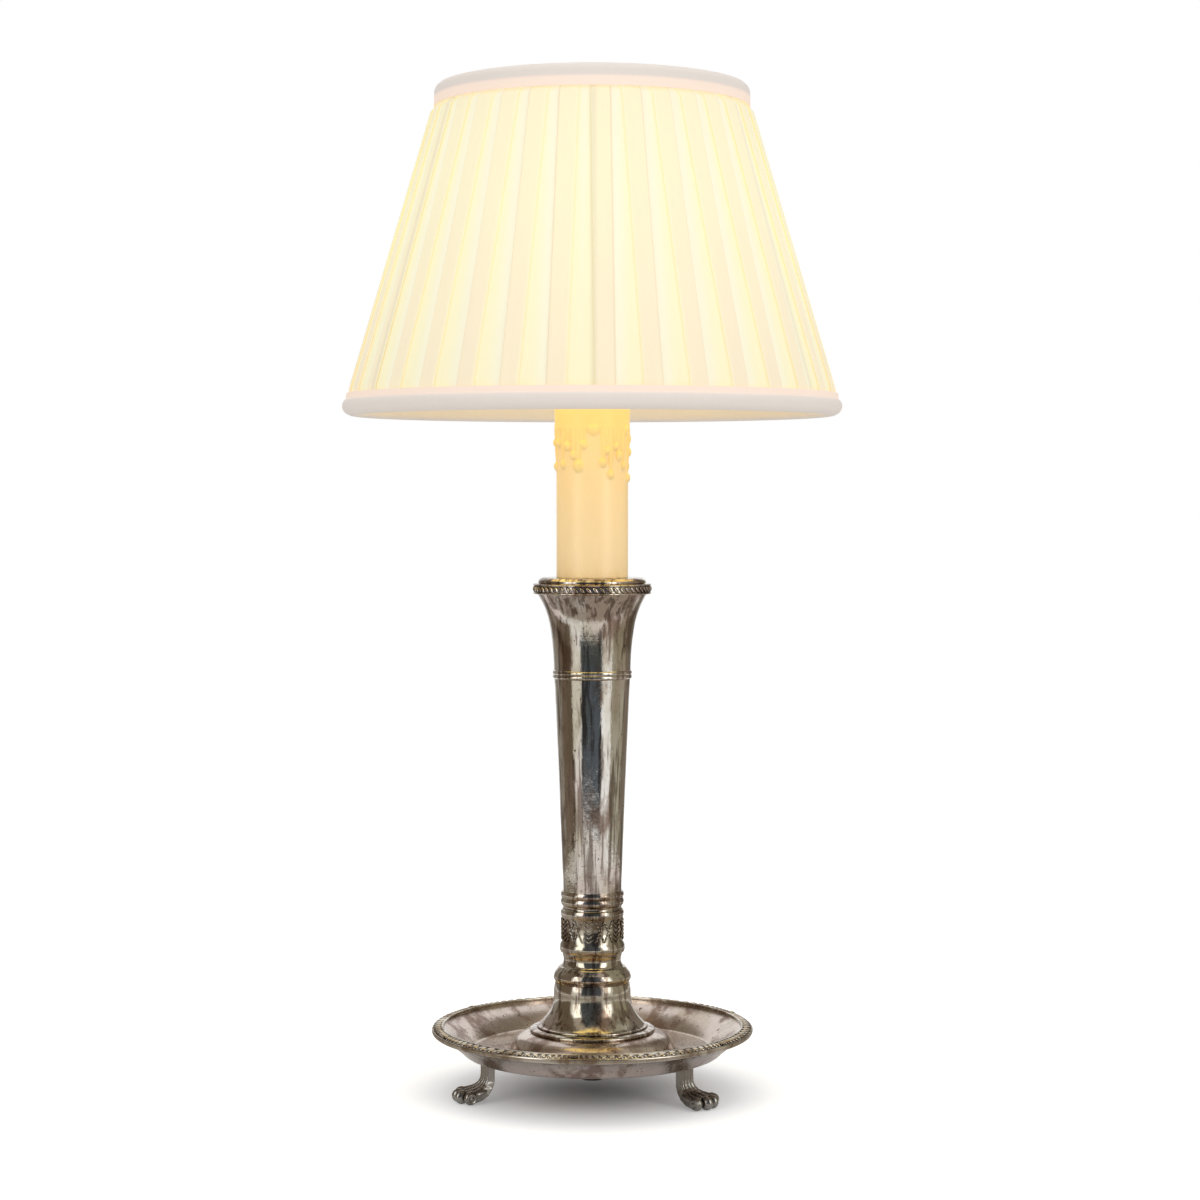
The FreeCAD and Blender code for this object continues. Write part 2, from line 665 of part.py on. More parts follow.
def screw_shell():
    """Brass shell that the bulb screws into."""
    low, high = SHELL_Z
    return turned(
        (SHELL_FLOOR_BORE, low),
        (SHELL_OUTER, low),
        (SHELL_OUTER, high),
        (SHELL_BORE, high),
        (SHELL_BORE, low + CONTACT_STRIP),
        (SHELL_FLOOR_BORE, low + CONTACT_STRIP),
    )


def strip(x_low, x_high, z_low, z_high):
    """Flat piece of brass strip, across the lampholder."""
    corner = FreeCAD.Vector(x_low, -CONTACT_WIDTH / 2, z_low)
    return Part.makeBox(x_high - x_low, CONTACT_WIDTH, z_high - z_low, corner)


def terminal_foot(side, reach):
    """Strip that lies on a terminal post, with the screw's hole, and runs in to a distance from the axis."""
    near, far = sorted((side * reach, side * (TERMINAL_OFFSET + CONTACT_LAP)))
    foot = strip(near, far, TERMINAL_TOP_Z, TERMINAL_TOP_Z + CONTACT_STRIP)
    hole_foot = FreeCAD.Vector(side * TERMINAL_OFFSET, 0, TERMINAL_TOP_Z)
    return foot.cut(Part.makeCylinder(CONTACT_HOLE_RADIUS, CONTACT_STRIP, hole_foot, UP))


def centre_contact():
    """Spring tongue from the left terminal up to the bulb's tip."""
    left, right = TONGUE_X
    top = BULB_CONTACT_Z - CONTACT_TIP_GAP
    foot = terminal_foot(-1, -left - CONTACT_STRIP)
    riser = strip(left, left + CONTACT_STRIP, TERMINAL_TOP_Z, top)
    tongue = strip(left, right, top - CONTACT_STRIP, top)
    return foot.fuse(riser).fuse(tongue).removeSplitter()


def shell_contact():
    """Strip from the right terminal to the underside of the screw shell."""
    foot = terminal_foot(1, SHELL_STRIP_X)
    riser = strip(SHELL_STRIP_X, SHELL_STRIP_X + CONTACT_STRIP, TERMINAL_TOP_Z, SHELL_Z[0])
    return foot.fuse(riser).removeSplitter()


def terminal_screw(side):
    """Cheese-head screw that clamps one contact strip."""
    x = side * TERMINAL_OFFSET
    top = TERMINAL_TOP_Z + CONTACT_STRIP
    head_radius, head_height = SCREW_HEAD
    shank_radius, shank_length = SCREW_SHANK
    slot_width, slot_depth = SCREW_SLOT
    head = Part.makeCylinder(head_radius, head_height, FreeCAD.Vector(x, 0, top), UP)
    slot_corner = FreeCAD.Vector(x - head_radius, -slot_width / 2, top + head_height - slot_depth)
    slot = Part.makeBox(2 * head_radius, slot_width, slot_depth, slot_corner)
    shank = Part.makeCylinder(shank_radius, shank_length, FreeCAD.Vector(x, 0, top - shank_length), UP)
    return head.cut(slot).fuse(shank).removeSplitter()


def make_lampholder():
    """Lampholder inside the candle sleeve, and the ring that clamps the carrier."""
    save("lampholder_base", holder_base())
    save("lampholder_body", holder_body())
    save("screw_shell", screw_shell())
    save("centre_contact", centre_contact())
    save("shell_contact", shell_contact())
    save("terminal_screws", group([terminal_screw(-1), terminal_screw(1)]))
    bore, outer = RING_NUT_RADII
    low, high = RING_NUT_Z
    save("shade_ring_nut", turned(
        (bore, low), (outer, low), (outer, high - 1.0), (outer - 1.0, high), (bore, high)))


# ---------------------------------------------------------------- shade carrier
def make_carrier():
    """Wire carrier that turns on the lampholder and holds the shade up."""
    bore, outer = CARRIER_RING_RADII
    ring_top = CARRIER_RING_Z + CARRIER_RING_THICKNESS
    ring = tube(outer, bore, CARRIER_RING_Z, ring_top)
    gallery = wire_ring(GALLERY_RADIUS, GALLERY_Z, CARRIER_WIRE)
    z = ring_top + CARRIER_WIRE
    corners = [(outer + 0.5, z), (GALLERY_RADIUS, z), (GALLERY_RADIUS, GALLERY_Z)]
    arms = []
    for angle in CARRIER_ARM_ANGLES:
        arms.append(wire_along(bent(corners, CARRIER_BEND), CARRIER_WIRE, angle))
        tab = Part.makeBox(CARRIER_TAB, CARRIER_TAB, CARRIER_RING_THICKNESS,
                           FreeCAD.Vector(outer - 0.5, -CARRIER_TAB / 2, CARRIER_RING_Z))
        ring = ring.fuse(turned_to(tab, angle))
    ring = ring.removeSplitter()
    save("carrier_base_ring", ring)
    save("carrier_arms", group([arm.cut(gallery).cut(ring) for arm in arms]))
    save("carrier_gallery_ring", gallery)


# ---------------------------------------------------------------- bulb
def bulb_cap():
    """Metal screw cap of the bulb, with a rolled thread and a collar."""
    low, high = CAP_Z
    root = CAP_RADIUS - THREAD_DEPTH
    inner = root - CAP_WALL
    level = low + 0.4
    points = [(CAP_EYE, low - 0.6), (root - 0.4, low), (root, level)]
    while level + THREAD_PITCH < high - 1.0:
        points.append(((CAP_RADIUS, level + THREAD_PITCH / 2), (root, level + THREAD_PITCH)))
        level += THREAD_PITCH
    points += [(root, high), (COLLAR_OUTER, GLASS_BOTTOM_Z), (COLLAR_OUTER - 1.2, GLASS_BOTTOM_Z)]
    points += [(inner, high), (inner, low + 0.9), (CAP_EYE, low + 0.3)]
    return turned(*points)


def bulb_contact():
    """Soldered pip under the cap."""
    tip, base = PIP_RADII
    shoulder, top = (BULB_CONTACT_Z + height for height in PIP_HEIGHTS)
    return turned((0.0, BULB_CONTACT_Z), (tip, BULB_CONTACT_Z), (base, shoulder), (base, top), (0.0, top))


def bulb_insulator():
    """Black glass disc between the pip and the cap."""
    low = BULB_CONTACT_Z + PIP_HEIGHTS[1]
    high = CAP_Z[0] + 0.3
    return turned((0.0, low), (INSULATOR_RADIUS, low), (INSULATOR_RADIUS, high), (0.0, high))


def bulb_glass():
    """Blown candle-shaped bulb."""
    return glass_form(0.0).cut(glass_form(GLASS_WALL))


def glass_form(inset):
    """The bulb's form, or the same a little smaller all round."""
    wide = GLASS_RADIUS - inset
    neck = COLLAR_OUTER - 0.1 - inset
    tip = GLASS_TOP_Z - 1.5 * inset
    return turned(
        (0.0, GLASS_BOTTOM_Z),
        (neck, GLASS_BOTTOM_Z),
        ((neck + 2.7, GLASS_BOTTOM_Z + 6.0), (wide - 2.6, GLASS_WIDE_Z - 13.0)),
        ((wide - 0.5, GLASS_WIDE_Z - 6.0), (wide, GLASS_WIDE_Z)),
        ((wide - 1.6, GLASS_WIDE_Z + 13.0), (wide - 7.2, GLASS_WIDE_Z + 26.5)),
        ((wide - 12.2, tip - 6.0), (3.0, tip - 1.4)),
        ((2.1, tip - 0.6), (1.0, tip - 0.15)),
        (0.0, tip),
    )


def bulb_stem():
    """Glass mount inside the bulb."""
    return turned(
        (0.0, GLASS_BOTTOM_Z - 1.0),
        (STEM_RADIUS, GLASS_BOTTOM_Z - 1.0),
        (STEM_RADIUS, GLASS_BOTTOM_Z + 0.6),
        ((3.0, GLASS_BOTTOM_Z + 4.0), (2.2, GLASS_BOTTOM_Z + 9.0)),
        (1.4, GLASS_BOTTOM_Z + 20.0),
        (0.0, GLASS_BOTTOM_Z + 21.0),
    )


def bulb_filament():
    """Filament held on two lead wires over the stem."""
    foot = GLASS_BOTTOM_Z + FILAMENT_FOOT
    top = foot + FILAMENT_RISE
    half = FILAMENT_HALF_WIDTH
    arch = ((0.0, top + 1.0), (half, top - 4.0))
    points = [(-LEAD_OFFSET, foot), (-half, top - 4.0), arch, (LEAD_OFFSET, foot)]
    return wire_along(points, FILAMENT_WIRE, 0.0)


def make_bulb():
    """Candle bulb that screws into the lampholder."""
    save("bulb_cap", bulb_cap())
    save("bulb_contact", bulb_contact())
    save("bulb_insulator", bulb_insulator())
    save("bulb_glass", bulb_glass())
    save("bulb_stem", bulb_stem())
    save("bulb_filament", bulb_filament().cut(bulb_stem()))


# ---------------------------------------------------------------- shade frame
def make_shade_frame():
    """Wire frame: two rings, struts between them and the spider that drops to the carrier."""
    top = wire_ring(*TOP_RING, FRAME_WIRE)
    bottom = wire_ring(*BOTTOM_RING, FRAME_WIRE)
    top_r, top_z = TOP_RING
    corners = [BOTTOM_RING, (top_r + 2.0, top_z - 12.4), (top_r, top_z - 6.0), TOP_RING]
    struts = []
    for number in range(STRUT_COUNT):
        angle = SHADE_TURN + number * 360 / STRUT_COUNT
        strut = wire_along(bent(corners, STRUT_BEND), STRUT_WIRE, angle)
        struts.append(strut.cut(top).cut(bottom))
    save("shade_top_ring", top)
    save("shade_bottom_ring", bottom)
    save("shade_struts", group([largest(strut) for strut in struts]))
    ring_z = GALLERY_Z + CARRIER_WIRE + SPIDER_GAP + SPIDER_WIRE
    ring = wire_ring(SPIDER_RING_RADIUS, ring_z, SPIDER_WIRE)
    arms = [largest(spider_arm(ring_z, angle).cut(ring).cut(top)) for angle in spider_angles()]
    save("spider_ring", ring)
    save("spider_arms", group(arms))


def largest(shape):
    """The biggest solid of a shape that was cut in pieces."""
    return max(shape.Solids, key=lambda solid: solid.Volume)


def spider_angles():
    """Directions of the spider's arms."""
    return [SPIDER_TURN + number * 360 / SPIDER_ARM_COUNT for number in range(SPIDER_ARM_COUNT)]


def spider_arm(ring_z, angle):
    """Arm from the spider's ring out and up to the top ring."""
    radius, z = TOP_RING
    corners = [(SPIDER_RING_RADIUS, ring_z), (radius - 8.5, z), (radius, z)]
    return wire_along(bent(corners, SPIDER_BEND), STRUT_WIRE, angle)


# ---------------------------------------------------------------- shade cloth
def pleat_outline(z, radius, depth):
    """Closed outline of the pleated cloth at one height."""
    pitch = math.radians(360 / PLEAT_COUNT)
    first = math.radians(PLEAT_DIRECTION)
    band = PLEAT_BAND / radius / 2
    side = PLEAT_SIDE / radius
    corners = []
    for number in range(PLEAT_COUNT):
        middle = first + number * pitch
        for turn, reach in ((-band, radius), (band, radius),
                            (band + side, radius - depth), (pitch - band - side, radius - depth)):
            corners.append(at(reach, z, math.degrees(middle + turn)))
    return Part.makePolygon(corners + [corners[0]])


def shade_cover():
    """Pleated cover: folded bands, with single cloth between them that widens downwards."""
    outer = Part.makeLoft([pleat_outline(*level) for level in COVER_LEVELS], True, True)
    inner_levels = [(z, radius - COVER_WALL, depth) for z, radius, depth in COVER_LEVELS]
    inner = Part.makeLoft([pleat_outline(*level) for level in inner_levels], True, True)
    return outer.cut(inner)


def shade_lining():
    """Smooth lining inside the struts, drawn in a little between the rings."""
    (low_r, low_z), (high_r, high_z) = LINING_BOTTOM, LINING_TOP
    middle = ((low_r + high_r) / 2 - LINING_DRAW_IN, (low_z + high_z) / 2)
    return spun(LINING_WALL, LINING_BOTTOM, middle, LINING_TOP)


def shade_top_trim():
    """Bound upper edge: a folded band over the top ring, notched for the spider's arms."""
    trim = turned(
        (77.6, 492.0),
        (78.5, 492.0),
        (78.3, 499.6),
        ((74.4, 503.0), (70.3, 499.6)),
        (70.3, 495.4),
        (71.0, 495.4),
        (71.0, 499.6),
        ((74.3, 502.0), (77.5, 499.6)),
    )
    radius, z = TOP_RING
    reach = 6.0
    for angle in spider_angles():
        start = at(radius - reach, z, angle)
        trim = trim.cut(Part.makeCylinder(STRUT_WIRE + TRIM_HOLE_CLEARANCE, reach, start, at(1, 0, angle)))
    return trim


def shade_bottom_trim():
    """Bound lower edge: a flat band over a rolled hem."""
    return turned(
        (121.8, 351.0),
        (122.5, 351.0),
        (122.6, 347.6),
        ((124.5, 342.4), (121.6, 338.6)),
        ((118.3, 338.2), (115.0, 340.4)),
        (113.7, 346.4),
        (114.4, 346.4),
        (115.7, 341.0),
        ((118.6, 339.3), (121.2, 339.5)),
        ((122.2, 341.6), (121.9, 344.6)),
    )


def make_shade_cloth():
    """Cover, lining and bound edges of the shade."""
    save("shade_cover", shade_cover())
    save("shade_lining", shade_lining())
    save("shade_top_trim", shade_top_trim())
    save("shade_bottom_trim", shade_bottom_trim())


make_base()
make_column()
save("candle_sleeve", candle_sleeve())
make_lampholder()
make_carrier()
make_bulb()
make_shade_frame()
make_shade_cloth()
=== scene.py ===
"""Candlestick lamp with paw feet, a gadroon-edged tray and a lit pleated shade.

Lengths are in millimetres until they reach Blender, which works in metres. The
lamp stands on the floor with its column on the Z axis and its front towards -Y.
"""

import functools
import json
import logging
import math
from contextlib import contextmanager
from dataclasses import dataclass
from enum import Enum
from typing import Callable, Iterator, Sequence

import bpy
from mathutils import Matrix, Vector

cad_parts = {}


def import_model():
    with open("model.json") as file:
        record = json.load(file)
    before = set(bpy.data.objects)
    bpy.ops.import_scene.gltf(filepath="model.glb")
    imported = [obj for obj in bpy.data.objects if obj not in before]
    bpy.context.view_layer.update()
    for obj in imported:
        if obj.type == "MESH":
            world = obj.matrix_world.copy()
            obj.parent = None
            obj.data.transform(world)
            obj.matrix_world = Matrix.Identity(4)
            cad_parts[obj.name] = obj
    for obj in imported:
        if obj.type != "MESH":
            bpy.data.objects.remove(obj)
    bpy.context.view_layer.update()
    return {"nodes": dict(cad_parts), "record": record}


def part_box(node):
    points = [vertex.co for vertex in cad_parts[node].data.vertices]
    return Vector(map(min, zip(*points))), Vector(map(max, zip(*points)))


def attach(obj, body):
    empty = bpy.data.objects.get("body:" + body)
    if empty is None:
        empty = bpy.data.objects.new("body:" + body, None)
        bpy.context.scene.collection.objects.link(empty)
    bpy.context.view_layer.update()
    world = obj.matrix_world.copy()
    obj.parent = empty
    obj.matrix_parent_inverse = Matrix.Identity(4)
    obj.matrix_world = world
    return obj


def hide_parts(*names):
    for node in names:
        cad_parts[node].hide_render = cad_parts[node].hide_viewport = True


log = logging.getLogger("candlestick_lamp")

MM = 0.001
FULL_TURN = 2 * math.pi
WELD = 0.004  # vertices nearer than this, in mm, are one
CAST_CREASE = 80.0  # small cast forms are shaded as one up to this angle, in degrees
Point = tuple[float, float]
Triple = tuple[float, float, float]
Colour = tuple[float, float, float]


# ---------------------------------------------------------------- bench work
class Steps(Enum):
    """How finely a turned piece is spun."""

    FINE = 192
    MEDIUM = 128
    SMALL = 64


def mm(x: float, y: float, z: float) -> Vector:
    """A place or a shift given in millimetres, as a vector in metres."""
    return Vector((x, y, z)) * MM


def polar(radius: float, degrees: float, z: float) -> Triple:
    """The place at a radius and a direction round the axis, all in millimetres."""
    return (radius * math.cos(math.radians(degrees)), radius * math.sin(math.radians(degrees)), z)


def select_only(*pieces: bpy.types.Object) -> None:
    """Select these pieces and nothing else, and make the first one active.

    Args:
        pieces: objects to select.
    """
    bpy.ops.object.select_all(action="DESELECT")
    for piece in pieces:
        piece.select_set(True)
    bpy.context.view_layer.objects.active = pieces[0]


@contextmanager
def editing(piece: bpy.types.Object) -> Iterator[None]:
    """Open a piece in edit mode with all its vertices selected, and close it again.

    Args:
        piece: the mesh object to work on.

    Yields:
        Nothing, while the piece is open.
    """
    select_only(piece)
    bpy.ops.object.mode_set(mode="EDIT")
    bpy.ops.mesh.select_mode(type="VERT")
    bpy.ops.mesh.select_all(action="SELECT")
    yield
    bpy.ops.object.mode_set(mode="OBJECT")


def fresh(name: str) -> bpy.types.Object:
    """Take the primitive that was just added and name it.

    Args:
        name: the name of the object and its mesh.

    Returns:
        The object.
    """
    piece = bpy.context.object
    piece.name = name
    piece.data.name = name
    return piece


def seat(piece: bpy.types.Object) -> bpy.types.Object:
    """Move a piece's place, turn and size into its mesh.

    Args:
        piece: the mesh object.

    Returns:
        The same object, at the origin.
    """
    select_only(piece)
    bpy.ops.object.transform_apply(location=True, rotation=True, scale=True)
    return piece


def close_up(piece: bpy.types.Object, reach: float = WELD) -> None:
    """Merge the vertices that lie on one another and turn all faces outwards.

    Args:
        piece: the mesh object.
        reach: how far apart, in mm, two vertices still count as one.
    """
    with editing(piece):
        bpy.ops.mesh.remove_doubles(threshold=reach * MM)
        bpy.ops.mesh.normals_make_consistent(inside=False)


def smooth(piece: bpy.types.Object, degrees: float = 40.0) -> None:
    """Shade a piece smooth, with creases where faces meet at more than this angle."""
    select_only(piece)
    bpy.ops.object.shade_smooth_by_angle(angle=math.radians(degrees))


def work(piece: bpy.types.Object, kind: str, **settings: object) -> None:
    """Add a modifier to a piece, set it up and apply it.

    Args:
        piece: the mesh object.
        kind: the modifier's type, such as "SOLIDIFY".
        settings: the modifier's values by name.
    """
    select_only(piece)
    modifier = piece.modifiers.new(kind.title(), kind)
    for key, value in settings.items():
        setattr(modifier, key, value)
    bpy.ops.object.modifier_apply(modifier=modifier.name)


def join(name: str, pieces: Sequence[bpy.types.Object]) -> bpy.types.Object:
    """Join pieces into one object.

    Args:
        name: the joined piece's name.
        pieces: objects to join; the first one stays.

    Returns:
        The joined object.
    """
    select_only(*pieces)
    if len(pieces) > 1:
        bpy.ops.object.join()
    return fresh(name)


def copy_of(piece: bpy.types.Object) -> bpy.types.Object:
    """Copy a piece together with its mesh.

    Args:
        piece: the mesh object.

    Returns:
        The copy.
    """
    select_only(piece)
    bpy.ops.object.duplicate(linked=False)
    return bpy.context.object


def turn(piece: bpy.types.Object, degrees: float) -> bpy.types.Object:
    """Turn a seated piece round the lamp's axis.

    Args:
        piece: the mesh object.
        degrees: how far, anticlockwise from above.

    Returns:
        The same object.
    """
    with editing(piece):
        bpy.ops.transform.rotate(value=-math.radians(degrees), orient_axis="Z", center_override=(0, 0, 0))
    return piece


def ring_of(name: str, piece: bpy.types.Object, count: int, step: float = 0.0) -> bpy.types.Object:
    """Copy a seated piece round the axis at equal angles and join the copies.

    Args:
        name: name of the joined piece.
        piece: the piece to repeat; it becomes part of the ring.
        count: how many there are in all.
        step: angle between two of them in degrees, or 0 to share the full turn.

    Returns:
        The joined ring.
    """
    angle = step or 360.0 / count
    copies = [piece] + [turn(copy_of(piece), angle * number) for number in range(1, count)]
    return join(name, copies)


def arc(start: Point, through: Point, end: Point, steps: int = 6) -> list[Point]:
    """Points on the circle through three places, without the first.

    Args:
        start: where the arc begins.
        through: a place on the way.
        end: where it ends.
        steps: number of straight pieces.

    Returns:
        The points after the start, the last one being the end.
    """
    (ax, ay), (bx, by), (cx, cy) = start, through, end
    d = 2 * (ax * (by - cy) + bx * (cy - ay) + cx * (ay - by))
    a2, b2, c2 = ax * ax + ay * ay, bx * bx + by * by, cx * cx + cy * cy
    ux = (a2 * (by - cy) + b2 * (cy - ay) + c2 * (ay - by)) / d
    uy = (a2 * (cx - bx) + b2 * (ax - cx) + c2 * (bx - ax)) / d
    radius = math.hypot(ax - ux, ay - uy)
    first = math.atan2(ay - uy, ax - ux)
    middle = (math.atan2(by - uy, bx - ux) - first) % FULL_TURN
    sweep = (math.atan2(cy - uy, cx - ux) - first) % FULL_TURN
    if middle > sweep:
        sweep -= FULL_TURN
    turns = [first + sweep * step / steps for step in range(1, steps + 1)]
    return [(ux + radius * math.cos(angle), uy + radius * math.sin(angle)) for angle in turns]


def outline(*marks: Point | tuple[Point, Point]) -> list[Point]:
    """An outline of (radius, z) points from plain points and arcs.

    Args:
        marks: each is a point, or a pair (through, end) for an arc.

    Returns:
        All points in order.
    """
    points: list[Point] = []
    for mark in marks:
        if isinstance(mark[0], tuple):
            points.extend(arc(points[-1], mark[0], mark[1]))
        else:
            points.append(mark)
    return points


def chain(name: str, places: Sequence[Triple], close: bool = False) -> bpy.types.Object:
    """Draw a run of edges vertex by vertex.

    Args:
        name: the object's name.
        places: the vertices in order, in mm.
        close: whether the run comes back to its start.

    Returns:
        The object, which has edges only.
    """
    run = list(places) + ([places[0]] if close else [])
    bpy.ops.object.select_all(action="DESELECT")
    bpy.ops.mesh.primitive_plane_add(size=MM)
    piece = fresh(name)
    with editing(piece):
        bpy.ops.mesh.merge(type="CENTER")
        bpy.ops.transform.translate(value=mm(*run[0]))
        for here, there in zip(run, run[1:]):
            bpy.ops.mesh.extrude_vertices_move(TRANSFORM_OT_translate={"value": mm(*there) - mm(*here)})
    return piece


def turned(name: str, points: Sequence[Point], steps: Steps = Steps.FINE) -> bpy.types.Object:
    """Turn a closed outline round the lamp's axis.

    Args:
        name: the piece's name.
        points: the outline as (radius, z) in mm.
        steps: how finely it is spun.

    Returns:
        The turned piece, closed and smooth.
    """
    piece = chain(name, [(radius, 0.0, z) for radius, z in points], close=True)
    with editing(piece):
        bpy.ops.mesh.remove_doubles(threshold=WELD * MM)
        bpy.ops.mesh.spin(steps=steps.value, angle=FULL_TURN, center=(0, 0, 0), axis=(0, 0, 1))
    close_up(piece)
    smooth(piece)
    return piece


def bead(segments: int, rings: int) -> bpy.types.Object:
    """Make a round blank to stamp from, 1 mm in radius and at the origin.

    Args:
        segments: its steps round.
        rings: its steps from pole to pole.

    Returns:
        The blank.
    """
    bpy.ops.object.select_all(action="DESELECT")
    bpy.ops.mesh.primitive_uv_sphere_add(segments=segments, ring_count=rings, radius=1, scale=mm(1, 1, 1))
    return seat(fresh("bead"))


@dataclass(frozen=True)
class Span:
    """A node's reach from the axis and its lower and upper edge, in mm."""

    radius: float
    low: float
    high: float

    @classmethod
    def of(cls, node: str) -> "Span":
        """Measure a node of the frame.

        Args:
            node: the node's name.

        Returns:
            Its span.
        """
        low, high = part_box(node)
        return cls(max(high.x, high.y) / MM, low.z / MM, high.z / MM)


def stamp(blank: bpy.types.Object, size: Triple, place: Triple, angles: Triple = (0, 0, 0)) -> bpy.types.Object:
    """Copy a blank to a size, place and turn; the ring or join that takes it seats it.

    Args:
        blank: a bead of 1 mm half-size at the origin.
        size: half-sizes of the copy in mm.
        place: its middle in mm.
        angles: turns about X, Y and Z in degrees.

    Returns:
        The copy.
    """
    piece = copy_of(blank)
    piece.scale = size
    piece.location = mm(*place)
    piece.rotation_euler = [math.radians(angle) for angle in angles]
    return piece


def discard(piece: bpy.types.Object) -> None:
    """Throw away a blank that has done its work."""
    select_only(piece)
    bpy.ops.object.delete()


def melt(piece: bpy.types.Object, voxel: float, rounds: int, keep: float = 1.0) -> None:
    """Run joined lumps together into one skin.

    Args:
        piece: the joined lumps.
        voxel: size of the skin's cells in mm.
        rounds: how often the skin is smoothed.
        keep: share of the faces that are kept.
    """
    work(piece, "REMESH", mode="VOXEL", voxel_size=voxel * MM, adaptivity=0.0)
    if rounds:
        work(piece, "SMOOTH", factor=0.5, iterations=rounds)
    if keep < 1.0:
        work(piece, "DECIMATE", ratio=keep)
    smooth(piece, 60.0)


# ---------------------------------------------------------------- finishes
Socket = bpy.types.NodeSocket


class Graph:
    """Short words for drawing a node tree."""

    def __init__(self, tree: bpy.types.NodeTree) -> None:
        """Keep the tree that the nodes go into."""
        self.tree = tree

    def node(self, kind: str, feeds: dict | None = None, **settings: object) -> bpy.types.Node:
        """Add a node, set it up and feed its inputs.

        Args:
            kind: the node's type without "ShaderNode".
            feeds: inputs by name or number; a socket is linked and a value is set.
            settings: the node's own settings.

        Returns:
            The node.
        """
        node = self.tree.nodes.new("ShaderNode" + kind)
        for key, value in settings.items():
            setattr(node, key, value)
        for key, value in (feeds or {}).items():
            self.feed(node.inputs[key], value)
        return node

    def feed(self, socket: Socket, value: object) -> None:
        """Link a value to an input, or set it there.

        Args:
            socket: the input.
            value: a socket, a number or a colour.
        """
        if isinstance(value, Socket):
            self.tree.links.new(value, socket)
        elif socket.type == "RGBA" and len(value) == 3:
            socket.default_value = (*value, 1.0)
        else:
            socket.default_value = value

    def math(self, operation: str, *values: object) -> Socket:
        """One sum on one, two or three values."""
        return self.node("Math", dict(enumerate(values)), operation=operation).outputs[0]

    def times(self, first: object, *others: object) -> Socket:
        """The product of two values or more."""
        return functools.reduce(lambda product, other: self.math("MULTIPLY", product, other), others, first)

    def mix(self, share: object, first: object, second: object, blend: str = "MIX") -> Socket:
        """A blend of two colours."""
        node = self.node("Mix", {0: share, 6: first, 7: second}, data_type="RGBA", blend_type=blend)
        return node.outputs[2]

    def span(self, value: Socket, low: float, high: float, start: float = 0.0, end: float = 1.0) -> Socket:
        """Carry a value smoothly from one range to another and hold it there."""
        feeds = {"Value": value, "From Min": low, "From Max": high, "To Min": start, "To Max": end}
        return self.node("MapRange", feeds, interpolation_type="SMOOTHSTEP").outputs[0]

    def place(self, scale: Triple = (1, 1, 1), shift: Triple = (0, 0, 0)) -> Socket:
        """Object coordinates, stretched and shifted."""
        where = self.node("TexCoord").outputs["Object"]
        return self.node("Mapping", {"Vector": where, "Scale": scale, "Location": shift}).outputs[0]

    def axes(self) -> bpy.types.bpy_prop_collection:
        """Object coordinates along X, Y and Z."""
        return self.node("SeparateXYZ", {0: self.place()}).outputs

    def from_axis(self, x: Socket, y: Socket) -> Socket:
        """How far a place lies from the lamp's axis."""
        return self.math("SQRT", self.math("ADD", self.times(x, x), self.times(y, y)))

    def noise(self, vector: Socket, scale: object, detail: float = 3.0, rough: float = 0.55) -> Socket:
        """A cloudy value from 0 to 1."""
        feeds = {"Vector": vector, "Scale": scale, "Detail": detail, "Roughness": rough}
        return self.node("TexNoise", feeds).outputs[0]

    def use(self, group: bpy.types.NodeTree, **feeds: object) -> bpy.types.bpy_prop_collection:
        """Place a shared effect.

        Args:
            group: the effect.
            feeds: its inputs by name; an underscore stands for a space.

        Returns:
            What the effect puts out.
        """
        node = self.tree.nodes.new("ShaderNodeGroup")
        node.node_tree = group
        for key, value in feeds.items():
            self.feed(node.inputs[key.replace("_", " ")], value)
        return node.outputs


def effect(name: str, inputs: dict[str, object],
           outputs: Sequence[str]) -> tuple[Graph, dict[str, Socket], dict[str, Socket]]:
    """Start a shader node group whose sockets are named.

    Args:
        name: the group's name.
        inputs: default value of each input; a number or a colour.
        outputs: names of the values it puts out.

    Returns:
        The graph, the input sockets by name and the output sockets by name.
    """
    tree = bpy.data.node_groups.new(name, "ShaderNodeTree")
    for label, default in inputs.items():
        kind = "NodeSocketColor" if isinstance(default, tuple) else "NodeSocketFloat"
        socket = tree.interface.new_socket(label, in_out="INPUT", socket_type=kind)
        socket.default_value = (*default, 1.0) if isinstance(default, tuple) else default
    for label in outputs:
        tree.interface.new_socket(label, in_out="OUTPUT", socket_type="NodeSocketFloat")
    graph = Graph(tree)
    start = tree.nodes.new("NodeGroupInput")
    end = tree.nodes.new("NodeGroupOutput")
    given = {label: start.outputs[label] for label in inputs}
    return graph, given, {label: end.inputs[label] for label in outputs}


